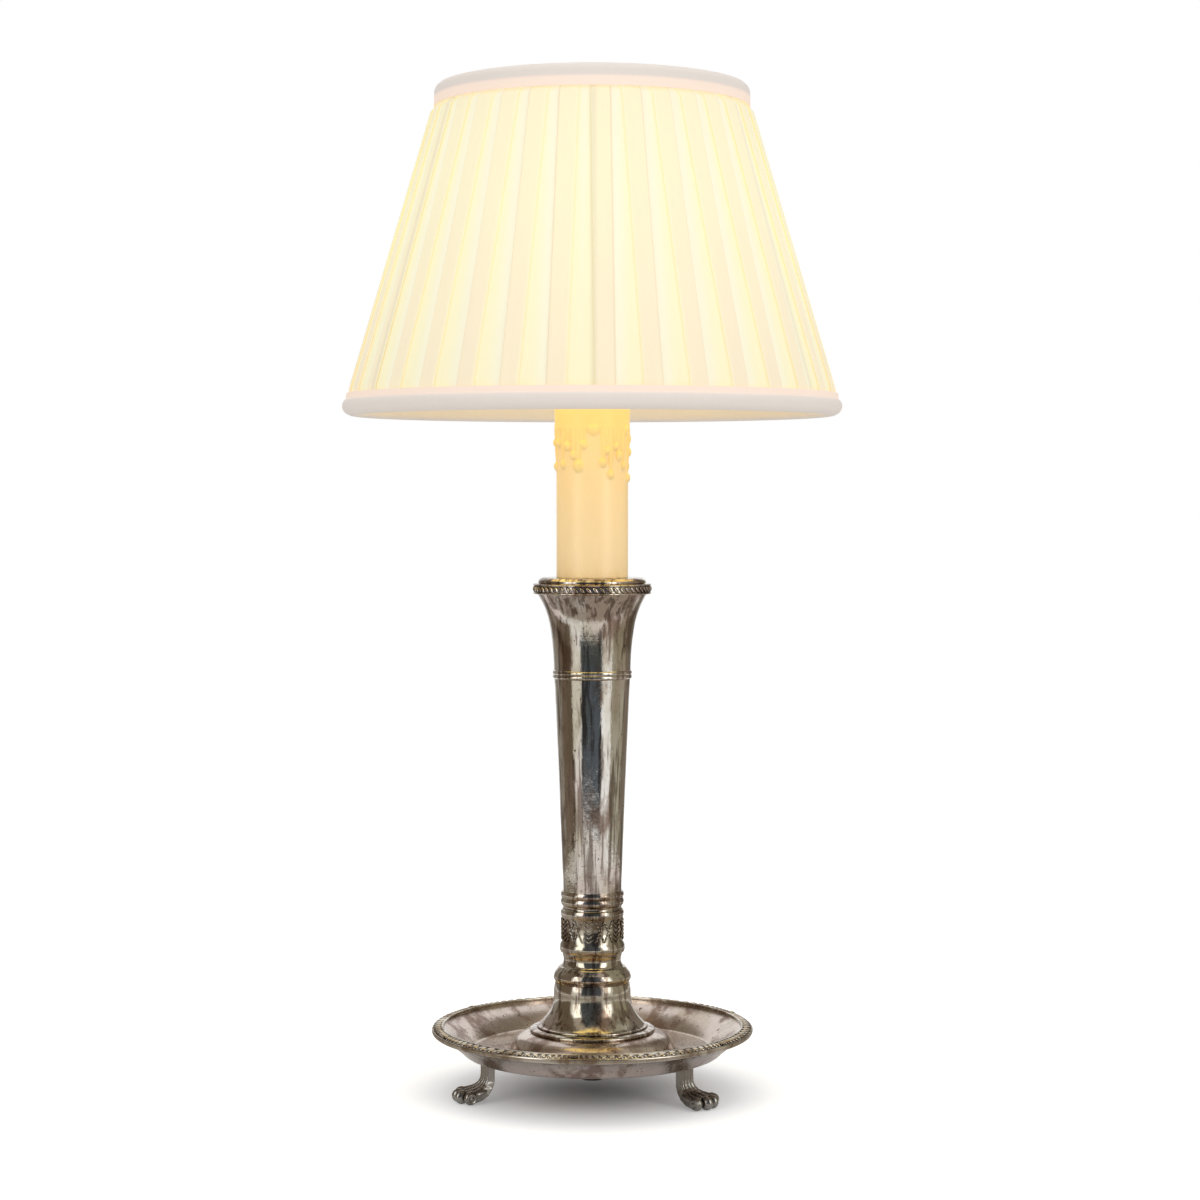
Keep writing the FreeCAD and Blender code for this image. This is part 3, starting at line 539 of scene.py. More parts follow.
class Effects:
    """The effects that several finishes share, each built once."""

    def __init__(self) -> None:
        """Build every group."""
        self.stains = self.build_stains()
        self.recess = self.build_recess()
        self.scratches = self.build_scratches()
        self.glow = self.build_glow()
        self.weave = self.build_weave()
        self.pleats = self.build_pleats()

    def build_stains(self) -> bpy.types.NodeTree:
        """Cloudy patches of tarnish, or runs down the piece where Stretch is small."""
        given_values = {"Scale": 40.0, "Share": 0.5, "Softness": 0.1, "Stretch": 0.4, "Shift": 0.0}
        graph, given, out = effect("tarnish_stains", given_values, ["Mask"])
        x, y, z = graph.axes()
        moved = graph.math("ADD", x, given["Shift"])
        tall = graph.times(z, given["Stretch"])
        where = graph.node("CombineXYZ", {0: moved, 1: y, 2: tall}).outputs[0]
        cloud = graph.noise(where, given["Scale"], 5.0, 0.62)
        low = graph.math("SUBTRACT", 1.0, given["Share"])
        high = graph.math("ADD", low, given["Softness"])
        edge = graph.node("MapRange", {"Value": cloud, "From Min": low, "From Max": high})
        graph.feed(out["Mask"], edge.outputs[0])
        return graph.tree

    def build_recess(self) -> bpy.types.NodeTree:
        """Darkening in hidden places: painted shade, on the metals also tarnish in their hollows."""
        graph, given, out = effect("recess_shade_and_tarnish", {"Depth": 0.002, "Strength": 1.0}, ["Mask"])
        near = graph.node("AmbientOcclusion", {"Distance": given["Depth"]}, samples=8, only_local=True)
        hidden = graph.span(near.outputs["AO"], 0.35, 0.92, 1.0, 0.0)
        graph.feed(out["Mask"], graph.times(hidden, given["Strength"]))
        return graph.tree

    def build_scratches(self) -> bpy.types.NodeTree:
        """Fine polishing marks that run round the piece."""
        graph, given, out = effect("polish_marks", {"Fineness": 1.0}, ["Value"])
        graph.feed(out["Value"], graph.noise(graph.place((60, 60, 2400)), given["Fineness"], 3.0, 0.7))
        return graph.tree

    def build_glow(self) -> bpy.types.NodeTree:
        """How strongly the lamp's light reaches a place, and the shadow of the frame's struts."""
        graph, given, out = effect("lamp_glow", {"Centre Height": 0.427, "Reach": 0.09, "Strut Turn": 277.0},
                                   ["Light", "Shadow"])
        x, y, z = graph.axes()
        above = graph.math("SUBTRACT", z, given["Centre Height"])
        far = graph.math("DIVIDE", above, given["Reach"])
        graph.feed(out["Light"], graph.math("EXPONENT", graph.times(far, far, -1.0)))
        angle = graph.math("DEGREES", graph.math("ARCTAN2", y, x))
        off = graph.math("SUBTRACT", angle, given["Strut Turn"])
        near = graph.math("PINGPONG", off, 30.0)
        radius = graph.from_axis(x, y)
        wide = graph.times(graph.math("RADIANS", near), radius)
        graph.feed(out["Shadow"], graph.span(wide, 0.0005, 0.0026, 1.0, 0.0))
        return graph.tree

    def build_pleats(self) -> bpy.types.NodeTree:
        """Where a place lies between the outer edge of one pleat's band and that of the next.

        Distance runs from an outer edge over the plain cloth and the next band; it turns
        round at the front and at the sides, as the light through the folds does.
        """
        given_values = {"First": Shade.first_pleat, "Pitch": 360 / Shade.pleats,
                        "Half Band": Shade.band / 2 * MM, "Front": 276.7}
        graph, given, out = effect("pleat_places", given_values, ["Distance", "Gap"])
        x, y, _ = graph.axes()
        angle = graph.math("DEGREES", graph.math("ARCTAN2", y, x))
        turns = graph.math("DIVIDE", graph.math("SUBTRACT", angle, given["First"]), given["Pitch"])
        off = graph.math("WRAP", turns, 0.5, -0.5)
        middle = graph.math("MULTIPLY_ADD", graph.math("SUBTRACT", turns, off), given["Pitch"], given["First"])
        from_front = graph.math("RADIANS", graph.math("SUBTRACT", middle, given["Front"]))
        outward = graph.math("SIGN", graph.math("SINE", graph.times(from_front, 2.0)))
        radius = graph.from_axis(x, y)
        pitch = graph.times(graph.math("RADIANS", given["Pitch"]), radius)
        across = graph.times(off, pitch, outward)
        along = graph.math("WRAP", graph.math("SUBTRACT", across, given["Half Band"]), pitch, 0.0)
        graph.feed(out["Distance"], along)
        graph.feed(out["Gap"], graph.math("MULTIPLY_ADD", given["Half Band"], -2.0, pitch))
        return graph.tree

    def build_weave(self) -> bpy.types.NodeTree:
        """Threads and slubs of a fine cloth, standing up and down the shade."""
        graph, given, out = effect("cloth_weave", {"Fineness": 1.0}, ["Thread", "Slub"])
        graph.feed(out["Thread"], graph.noise(graph.place((2600, 2600, 2600)), given["Fineness"], 2.0, 0.5))
        graph.feed(out["Slub"], graph.noise(graph.place((420, 420, 18)), given["Fineness"], 4.0, 0.6))
        return graph.tree


def new_material(name: str, recipe: Callable[[Graph], dict[str, object]]) -> bpy.types.Material:
    """Make a material.

    Args:
        name: the material's name.
        recipe: draws on the material's graph and returns the shader's inputs by name.

    Returns:
        The material.
    """
    material = bpy.data.materials.new(name)
    material.use_nodes = True
    graph = Graph(material.node_tree)
    shader = material.node_tree.nodes["Principled BSDF"]
    for label, value in recipe(graph).items():
        graph.feed(shader.inputs[label], value)
    return material


def darker(colour: Colour, share: float) -> Colour:
    """A colour with this share of its light."""
    return tuple(value * share for value in colour)


@dataclass(frozen=True)
class Finish:
    """A finish with a name; each kind of finish has its own recipe."""

    name: str

    def recipe(self, graph: Graph, effects: Effects) -> dict[str, object]:
        """Draw the finish.

        Args:
            graph: the material's graph.
            effects: the shared effects.

        Returns:
            The shader's inputs by name.
        """
        raise NotImplementedError

    def material(self, effects: Effects) -> bpy.types.Material:
        """Make the material of this finish with the shared effects."""
        return new_material(self.name, lambda graph: self.recipe(graph, effects))


@dataclass(frozen=True)
class Patches:
    """Cloudy patches on a metal.

    The scale is a multiple of the stains' own, the share is how far they spread, the cover
    is how much of the metal they hide, and a small stretch makes runs of them.
    """

    scale: float
    share: float
    softness: float
    cover: float = 1.0
    stretch: float = 0.4
    shift: float = 0.0


@dataclass(frozen=True)
class MetalFinish(Finish):
    """A metal with a film, stains, runs and pits, tarnish and painted shade in its recesses, and polishing
    marks.
    """

    colour: Colour
    stain: Colour
    film: Colour | None = None
    bloom: Colour | None = None
    # colour of the pits, and of the recesses, where it is tarnish and painted shade at once
    dirt_and_shade: Colour = (0.035, 0.028, 0.022)
    roughness: float = 0.24
    film_share: float = 0.56
    stain_share: float = 0.42
    stain_scale: float = 60.0
    run_share: float = 0.0
    pit_share: float = 0.34
    dent: float = 0.0
    recess_shade_depth: float = 0.0022
    recess_shade_strength: float = 0.9
    metallic: float = 1.0

    def patches(self) -> dict[str, Patches]:
        """The film, its bloom, the stains, the runs and the pits, from below upwards."""
        return {
            "bloom": Patches(0.6, 0.55, 0.1, shift=5.3),
            "film": Patches(0.8, self.film_share, 0.16, 0.9, stretch=0.3, shift=3.7),
            "stain": Patches(1.0, self.stain_share, 0.09, 0.85),
            "runs": Patches(5.0, self.run_share, 0.07, 0.75, stretch=0.05, shift=1.9),
            "pits": Patches(9.0, self.pit_share, 0.05, 0.75, stretch=1.0),
        }

    def relief(self, graph: Graph, effects: Effects, marks: Socket) -> Socket:
        """Shallow dents with the polishing marks over them.

        Args:
            graph: the material's graph.
            effects: the shared effects.
            marks: the polishing marks.

        Returns:
            The normal.
        """
        dents = graph.use(effects.stains, Scale=110.0, Share=1.0, Softness=1.0, Stretch=0.5, Shift=7.1)[0]
        wavy = graph.node("Bump", {"Height": dents, "Strength": self.dent, "Distance": 0.001}).outputs[0]
        fine = graph.node("Bump", {"Height": marks, "Strength": 0.04, "Distance": 0.0002, "Normal": wavy})
        return fine.outputs[0]

    def recipe(self, graph: Graph, effects: Effects) -> dict[str, object]:
        """Lay the patches over one another on the metal.

        Args:
            graph: the material's graph.
            effects: the shared effects.

        Returns:
            The shader's inputs by name.
        """
        patches = self.patches()
        masks = {label: graph.use(effects.stains, Scale=self.stain_scale * patch.scale, Share=patch.share,
                                  Softness=patch.softness, Stretch=patch.stretch, Shift=patch.shift)[0]
                 for label, patch in patches.items()}
        # darkening in the recesses: painted shade, and tarnish in the hollows
        dirt_and_shade = graph.use(effects.recess, Depth=self.recess_shade_depth, Strength=self.recess_shade_strength)[0]
        marks = graph.use(effects.scratches)[0]
        film = self.film or self.stain
        tones = {
            "film": graph.mix(masks["bloom"], film, self.bloom or film), "stain": self.stain,
            "runs": darker(self.stain, 0.6), "pits": self.dirt_and_shade,
        }
        colour = self.colour
        for label, tone in tones.items():
            colour = graph.mix(graph.times(masks[label], patches[label].cover), colour, tone)
        soiled_or_shaded = graph.math("MAXIMUM", dirt_and_shade, masks["pits"])
        rough = self.roughness - 0.03
        for mask, gain in ((marks, 0.06), (masks["stain"], 0.10), (masks["film"], 0.04), (soiled_or_shaded, 0.30)):
            rough = graph.math("MULTIPLY_ADD", mask, gain, rough)
        return {"Base Color": graph.mix(dirt_and_shade, colour, self.dirt_and_shade), "Roughness": rough, "Metallic": self.metallic,
                "Normal": self.relief(graph, effects, marks)}


@dataclass(frozen=True)
class SmoothFinish(Finish):
    """A moulded, glazed or painted surface with a little unevenness."""

    colour: Colour
    # tone of the cloudy patches and of the painted shade in the recesses
    shade: Colour
    roughness: float = 0.3

    def recipe(self, graph: Graph, effects: Effects) -> dict[str, object]:
        """Cloud the colour a little and darken the recesses with painted shade.

        Args:
            graph: the material's graph.
            effects: the shared effects.

        Returns:
            The shader's inputs by name.
        """
        cloudy = graph.use(effects.stains, Scale=90.0, Share=0.5, Softness=0.3)[0]
        # painted shade in the recesses
        dirt_and_shade = graph.use(effects.recess, Depth=0.002, Strength=0.5)[0]
        soiled_or_shaded = graph.math("MAXIMUM", graph.times(cloudy, 0.6), dirt_and_shade)
        return {"Base Color": graph.mix(soiled_or_shaded, self.colour, self.shade),
                "Roughness": graph.math("MULTIPLY_ADD", cloudy, 0.15, self.roughness)}


@dataclass(frozen=True)
class GlassFinish(Finish):
    """Bulb glass, clear or lit."""

    colour: Colour
    roughness: float
    transmission: float
    light: Colour = (0.0, 0.0, 0.0)
    strength: float = 0.0

    def recipe(self, graph: Graph, effects: Effects) -> dict[str, object]:
        """Cloud the glass a little and light it evenly.

        Args:
            graph: the material's graph.
            effects: the shared effects.

        Returns:
            The shader's inputs by name.
        """
        cloudy = graph.use(effects.stains, Scale=30.0, Share=0.5, Softness=0.5)[0]
        return {"Base Color": graph.mix(cloudy, self.colour, darker(self.colour, 0.94)),
                "Roughness": self.roughness, "Transmission Weight": self.transmission,
                "Emission Color": self.light, "Emission Strength": self.strength}


@dataclass(frozen=True)
class WaxFinish(Finish):
    """The candle's paper and the wax on it, with painted light from the lamp at the top."""

    paper_radius: float
    wax_radius: float
    paper: Colour = (0.95, 0.75, 0.45)
    wax: Colour = (0.93, 0.72, 0.33)
    # tone of the darker wax and of the painted shadow under the drops
    shade: Colour = (0.70, 0.36, 0.12)
    # painted lamp light on the candle: bright near the shade, dim lower down, darker in the painted shadow
    light: Colour = (1.0, 0.60, 0.14)
    dim: Colour = (0.16, 0.09, 0.03)
    dark_light: Colour = (0.1, 0.03, 0.0)
    strength: float = 0.22
    roughness: float = 0.3

    def recipe(self, graph: Graph, effects: Effects) -> dict[str, object]:
        """Tell paper from wax by how far it lies from the axis, and paint on the lamp's light and the shadow
        under the drops.

        Args:
            graph: the material's graph.
            effects: the shared effects.

        Returns:
            The shader's inputs by name.
        """
        x, y, _ = graph.axes()
        waxed = graph.span(graph.from_axis(x, y), self.paper_radius * MM, self.wax_radius * MM)
        cloudy = graph.use(effects.stains, Scale=45.0, Share=0.55, Softness=0.4)[0]
        pits = graph.use(effects.stains, Scale=420.0, Share=0.31, Softness=0.04, Stretch=1.0)[0]
        # painted shadow under the drops and in the grooves between runs
        dirt_and_shade = graph.use(effects.recess, Depth=0.0035, Strength=1.0)[0]
        glow = graph.use(effects.glow, Centre_Height=0.39, Reach=0.07)["Light"]
        # painted shadow together with the wax's pits
        dark = graph.math("MAXIMUM", dirt_and_shade, graph.times(pits, waxed, 0.6))
        colour = graph.mix(waxed, self.paper, self.wax)
        colour = graph.mix(graph.times(cloudy, 0.16), colour, self.shade)
        # painted light of the lamp, brightest near the shade
        lit = graph.mix(glow, self.dim, self.light)
        return {"Base Color": graph.mix(graph.times(dark, 0.85), colour, self.shade),
                "Roughness": graph.math("MULTIPLY_ADD", cloudy, 0.1, self.roughness),
                "Emission Color": graph.mix(graph.times(dark, 0.8), lit, self.dark_light),
                "Emission Strength": self.strength}


@dataclass(frozen=True)
class ClothFinish(Finish):
    """A cloth of the shade, lit from behind."""

    colour: Colour
    lit: Colour
    frame_shadow: float = 0.25
    reach: float = 0.12
    far_share: float = 0.25

    def light(self, graph: Graph, effects: Effects) -> object:
        """The colour of the light that comes through the cloth."""
        return self.lit

    def recipe(self, graph: Graph, effects: Effects) -> dict[str, object]:
        """Let the lamp shine through the weave, dimmer far from it and behind the struts.

        Args:
            graph: the material's graph.
            effects: the shared effects.

        Returns:
            The shader's inputs by name.
        """
        weave = graph.use(effects.weave)
        glow = graph.use(effects.glow, Reach=self.reach)
        fade = graph.math("MULTIPLY_ADD", glow["Light"], self.far_share, 1.0 - self.far_share)
        shadow = graph.math("MULTIPLY_ADD", glow["Shadow"], -self.frame_shadow, 1.0)
        slub = graph.math("MULTIPLY_ADD", weave["Slub"], 0.2, 0.9)
        level = graph.times(fade, shadow, slub)
        grey = graph.node("CombineColor", {0: level, 1: level, 2: level}).outputs[0]
        bump = graph.node("Bump", {"Height": weave["Thread"], "Strength": 0.25, "Distance": 0.0001})
        return {"Base Color": graph.mix(graph.times(weave["Slub"], 0.5), self.colour, darker(self.colour, 0.9)),
                "Roughness": 0.85, "Sheen Weight": 0.15, "Normal": bump.outputs[0],
                "Emission Color": graph.mix(1.0, self.light(graph, effects), grey, "MULTIPLY"),
                "Emission Strength": 1.0}


@dataclass(frozen=True)
class PleatedFinish(ClothFinish):
    """The pleated cloth's light: dimmer bands, a painted shade line at their outer edge and bright cloth beyond
    it.
    """

    near: Colour = (0.37, 0.41, 0.32)
    band_high: Colour = (0.37, 0.36, 0.20)
    band_low: Colour = (0.36, 0.30, 0.21)
    # painted shade along the fold at a band's outer edge
    fold_shade_tone: Colour = (0.20, 0.12, 0.06)

    def light(self, graph: Graph, effects: Effects) -> object:
        """The light through plain cloth and bands, with painted shade lines at the folds.

        Args:
            graph: the material's graph.
            effects: the shared effects.

        Returns:
            The colour.
        """
        distance, gap = graph.use(effects.pleats)
        plain = graph.mix(graph.span(distance, 0.0006, 0.0085), self.near, self.lit)
        band = graph.mix(graph.span(graph.axes()[2], 0.36, 0.46), self.band_low, self.band_high)
        fuller = graph.use(effects.stains, Scale=34.0, Share=0.75, Softness=0.5, Stretch=0.12)[0]
        band = graph.mix(graph.times(fuller, 0.55), band, plain)
        past = graph.math("SUBTRACT", distance, gap)
        light = graph.mix(graph.span(past, -0.0016, 0.0022), plain, band)
        to_next = graph.math("SUBTRACT", graph.math("ADD", gap, Shade.band * MM), distance)
        # painted shade line on both sides of each band's outer fold
        fold_shade_mask = graph.math("MAXIMUM", graph.span(distance, 0.0001, 0.0009, 1.0, 0.0),
                          graph.span(to_next, 0.0, 0.0005, 1.0, 0.0))
        return graph.mix(graph.times(fold_shade_mask, 0.5), light, self.fold_shade_tone)


@dataclass(frozen=True)
class BindingFinish(ClothFinish):
    """The binding's cloth, which the lamp shines through where it lies over the cover."""

    glow: Colour = (0.30, 0.16, 0.08)
    middle: float = 0.4218
    edges: Point = (0.0758, 0.0738)

    def light(self, graph: Graph, effects: Effects) -> object:
        """The light through the binding, brighter on the side of the cover."""
        far = graph.math("ABSOLUTE", graph.math("SUBTRACT", graph.axes()[2], self.middle))
        return graph.mix(graph.span(far, *self.edges), self.lit, self.glow)


class Plate(Enum):
    """The forms of worn silver plate."""

    COLUMN = MetalFinish("worn_silver_plate", (0.74, 0.71, 0.66), (0.20, 0.13, 0.09), (0.48, 0.43, 0.33),
                         (0.58, 0.48, 0.43), roughness=0.08, film_share=0.62, stain_share=0.47, run_share=0.48,
                         pit_share=0.37, dent=0.2, recess_shade_depth=0.003)
    TRAY = MetalFinish("tarnished_tray_plate", (0.66, 0.57, 0.51), (0.26, 0.17, 0.13), (0.50, 0.42, 0.33),
                       (0.62, 0.52, 0.47), roughness=0.2, film_share=0.58, stain_share=0.48, stain_scale=55.0,
                       pit_share=0.38, dent=0.1)
    BORDER = MetalFinish("worn_cast_plate", (0.70, 0.65, 0.57), (0.26, 0.19, 0.13), (0.42, 0.36, 0.28),
                         roughness=0.18, stain_share=0.5, recess_shade_strength=1.0, recess_shade_depth=0.0018)
    FEET = MetalFinish("dark_cast_plate", (0.36, 0.34, 0.31), (0.14, 0.115, 0.09), (0.24, 0.22, 0.19),
                       roughness=0.2, recess_shade_strength=1.0, recess_shade_depth=0.0035)


class Finishes:
    """Every finish of the lamp, by the record's material slot."""

    def __init__(self, slots: dict[str, str]) -> None:
        """Make all the materials.

        Args:
            slots: the material slot of each CAD node.
        """
        effects = Effects()
        self.slots = slots
        self.by_slot = {slot: finish.material(effects) for slot, finish in self.finishes().items()}
        self.plates = {plate: plate.value.material(effects) for plate in Plate}

    def finishes(self) -> dict[str, Finish]:
        """The finish of each slot but the silver plate's."""
        return {
            "cast_iron": MetalFinish("black_cast_iron", (0.10, 0.10, 0.11), (0.16, 0.09, 0.05), roughness=0.6,
                                     metallic=0.6),
            "steel": MetalFinish("zinc_steel", (0.60, 0.60, 0.58), (0.38, 0.32, 0.25), roughness=0.32),
            "brass": MetalFinish("contact_brass", (0.80, 0.60, 0.28), (0.48, 0.30, 0.12), roughness=0.28),
            "carrier_wire": MetalFinish("brassed_wire", (0.76, 0.60, 0.34), (0.46, 0.32, 0.16), roughness=0.3),
            "bulb_metal": MetalFinish("cap_aluminium", (0.76, 0.75, 0.73), (0.50, 0.46, 0.42), roughness=0.3),
            "bush": SmoothFinish("black_bush", (0.03, 0.03, 0.03), (0.06, 0.05, 0.045), 0.4),
            "phenolic": SmoothFinish("brown_phenolic", (0.10, 0.055, 0.035), (0.04, 0.022, 0.016), 0.25),
            "bulb_insulator": SmoothFinish("black_vitrite", (0.03, 0.03, 0.04), (0.05, 0.04, 0.05), 0.2),
            "frame_wire": SmoothFinish("white_coated_wire", (0.86, 0.83, 0.76), (0.62, 0.54, 0.42), 0.4),
            "opal_glass": GlassFinish("lit_opal_glass", (0.55, 0.48, 0.40), 0.3, 0.0, (1.0, 0.78, 0.45), 0.5),
            "clear_glass": GlassFinish("clear_stem_glass", (0.95, 0.97, 0.97), 0.03, 0.9),
            "filament": GlassFinish("lit_filament", (0.8, 0.6, 0.3), 0.4, 0.0, (1.0, 0.62, 0.25), 6.0),
            "candle": WaxFinish("candle_wax", CandleSleeve.radius + 0.15, CandleSleeve.radius + 0.4),
            "shade_fabric": PleatedFinish("pleated_cloth", (0.72, 0.62, 0.48), (0.38, 0.40, 0.21)),
            "lining_fabric": ClothFinish("lining_cloth", (0.78, 0.68, 0.42), (0.76, 0.62, 0.22)),
            "trim_fabric": BindingFinish("binding_cloth", (0.82, 0.76, 0.70), (0.06, 0.04, 0.03),
                                         frame_shadow=0.0),
        }

    def dress(self, piece: bpy.types.Object, slot: str, plate: Plate = Plate.COLUMN) -> None:
        """Give a piece the finish of a slot.

        Args:
            piece: the object.
            slot: the record's material slot.
            plate: its form of silver plate, where that is its slot.
        """
        piece.data.materials.clear()
        piece.data.materials.append(self.by_slot.get(slot) or self.plates[plate])

    def fit(self, piece: bpy.types.Object, node: str, body: str, plate: Plate = Plate.COLUMN) -> None:
        """Let a piece stand for a CAD node, ride on its body and take its slot's finish.

        Args:
            piece: the object.
            node: the CAD node that it replaces.
            body: the body that it rides on.
            plate: its form of silver plate, where it is plated.
        """
        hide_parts(node)
        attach(piece, body)
        self.dress(piece, self.slots[node], plate)
        log.info("%s made", piece.name)


# ---------------------------------------------------------------- base
@dataclass
class PawFoot:
    """A cast foot: a reeded leg that sweeps out into a broad paw with four curled toes."""

    leg_back: float = 54.2
    leg_front: float = 57.7
    leg_width: float = 10.2
    reeds: int = 4
    reed_rise: float = 0.7
    toe_pitch: float = 4.5
    toe_size: Triple = (3.6, 2.55, 3.4)
    toe_tip: float = 74.2
    outer_setback: float = 3.0
    toe_splay: Point = (4.0, 14.0)
    knuckle_size: Triple = (5.4, 1.75, 1.7)
    knuckle_back: float = 4.6
    knuckle_height: float = 5.0
    knuckle_lean: float = 16.0
    curl_radius: float = 2.15
    curl_wire: float = 0.6
    curl_out: float = 2.05
    sole: float = 0.02
    sweep: tuple[tuple[float, float, float, float, float], ...] = (
        (56.0, 13.0, 0, 1.0, 1.0),
        (56.2, 10.4, 10, 1.02, 1.05),
        (57.2, 7.9, 30, 1.08, 1.15),
        (59.2, 5.6, 52, 1.2, 1.3),
        (62.2, 4.0, 72, 1.4, 1.4),
        (65.6, 3.4, 86, 1.6, 1.35),
        (68.0, 3.3, 90, 1.66, 1.2),
    )

    def section(self, top: float) -> list[Triple]:
        """Draw the leg's outline from above, with its reeds on the front.

        Args:
            top: height of the tray's underside.

        Returns:
            The outline's places.
        """
        half = self.leg_width / 2
        marks: list[Point] = [(self.leg_back, -half), (self.leg_front, -half)]
        reed = self.leg_width / self.reeds
        for number in range(self.reeds):
            low = -half + number * reed
            marks += arc((self.leg_front, low), (self.leg_front + self.reed_rise, low + reed / 2),
                         (self.leg_front, low + reed), 4)
        marks.append((self.leg_back, half))
        return [(x, y, top) for x, y in marks]

    def leg(self, top: float) -> bpy.types.Object:
        """Sweep the leg down from the tray and out into the paw.

        Args:
            top: height of the tray's underside.

        Returns:
            The leg.
        """
        piece = chain("leg", self.section(top), close=True)
        x, z, lean, wide, thick = (self.leg_back + self.leg_front) / 2, top, 0.0, 1.0, 1.0
        with editing(piece):
            bpy.ops.mesh.remove_doubles(threshold=WELD * MM)
            bpy.ops.mesh.edge_face_add()
            for new_x, new_z, new_lean, new_wide, new_thick in self.sweep:
                shift = mm(new_x - x, 0, new_z - z)
                bpy.ops.mesh.extrude_region_move(TRANSFORM_OT_translate={"value": shift})
                centre = mm(new_x, 0, new_z)
                bpy.ops.transform.rotate(value=math.radians(new_lean - lean), orient_axis="Y",
                                         center_override=centre)
                swell = new_thick / thick
                bpy.ops.transform.resize(value=(swell, new_wide / wide, swell), center_override=centre)
                x, z, lean, wide, thick = new_x, new_z, new_lean, new_wide, new_thick
            bpy.ops.mesh.select_all(action="SELECT")
            bpy.ops.mesh.normals_make_consistent(inside=False)
        return piece

    def toes(self) -> list[bpy.types.Object]:
        """Shape the four toes with their knuckles and the curl at each side."""
        blank = bead(20, 14)
        parts = []
        for number in (-1.5, -0.5, 0.5, 1.5):
            outer = abs(number) > 1
            side = math.copysign(1, number)
            y = number * self.toe_pitch
            splay = side * self.toe_splay[outer]
            x = self.toe_tip - self.toe_size[0] - (self.outer_setback if outer else 0)
            parts.append(stamp(blank, self.toe_size, (x, y, self.toe_size[2]), (0, 0, splay)))
            parts.append(stamp(blank, self.knuckle_size, (x - self.knuckle_back, y * 0.86, self.knuckle_height),
                               (0, self.knuckle_lean, splay * 0.8)))
            if outer:
                parts.append(self.curl((x, y + self.curl_out * side, self.toe_size[2]), side, blank))
        discard(blank)
        return parts

    def curl(self, place: Triple, side: float, blank: bpy.types.Object) -> bpy.types.Object:
        """Shape the ring-shaped curl on an outer toe's side, with a bead in its middle.

        Args:
            place: the curl's middle in mm.
            side: 1 for the paw's left side and -1 for its right.
            blank: the blank for the bead.

        Returns:
            The curl.
        """
        bpy.ops.mesh.primitive_torus_add(major_radius=self.curl_radius * MM, minor_radius=self.curl_wire * MM,
                                         major_segments=24, minor_segments=8, location=mm(*place),
                                         rotation=(math.radians(90), 0, math.radians(side * 12)))
        ring = seat(fresh("curl"))
        eye = stamp(blank, (0.85, 0.75, 0.85), (place[0], place[1] + 0.45 * side, place[2]))
        return join("curl", [ring, eye])

    def build(self, finishes: Finishes) -> None:
        """Make one foot and set a copy of it in the place of each foot of the frame.

        Args:
            finishes: the lamp's finishes.
        """
        top = Span.of("paw_foot_back").high
        first = join("foot", [self.leg(top), *self.toes()])
        seat(first)
        melt(first, voxel=0.24, rounds=2)
        for height, side in ((self.sole, "clear_inner"), (top, "clear_outer")):
            with editing(first):
                bpy.ops.mesh.bisect(plane_co=mm(0, 0, height), plane_no=(0, 0, 1), use_fill=True, **{side: True})
        for node in ("paw_foot_left", "paw_foot_right", "paw_foot_back"):
            low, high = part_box(node)
            towards = math.degrees(math.atan2(low.y + high.y, low.x + high.x))
            foot = turn(copy_of(first), towards)
            foot.name = foot.data.name = node.replace("paw_foot", "paw")
            finishes.fit(foot, node, "candlestick", Plate.FEET)
        discard(first)


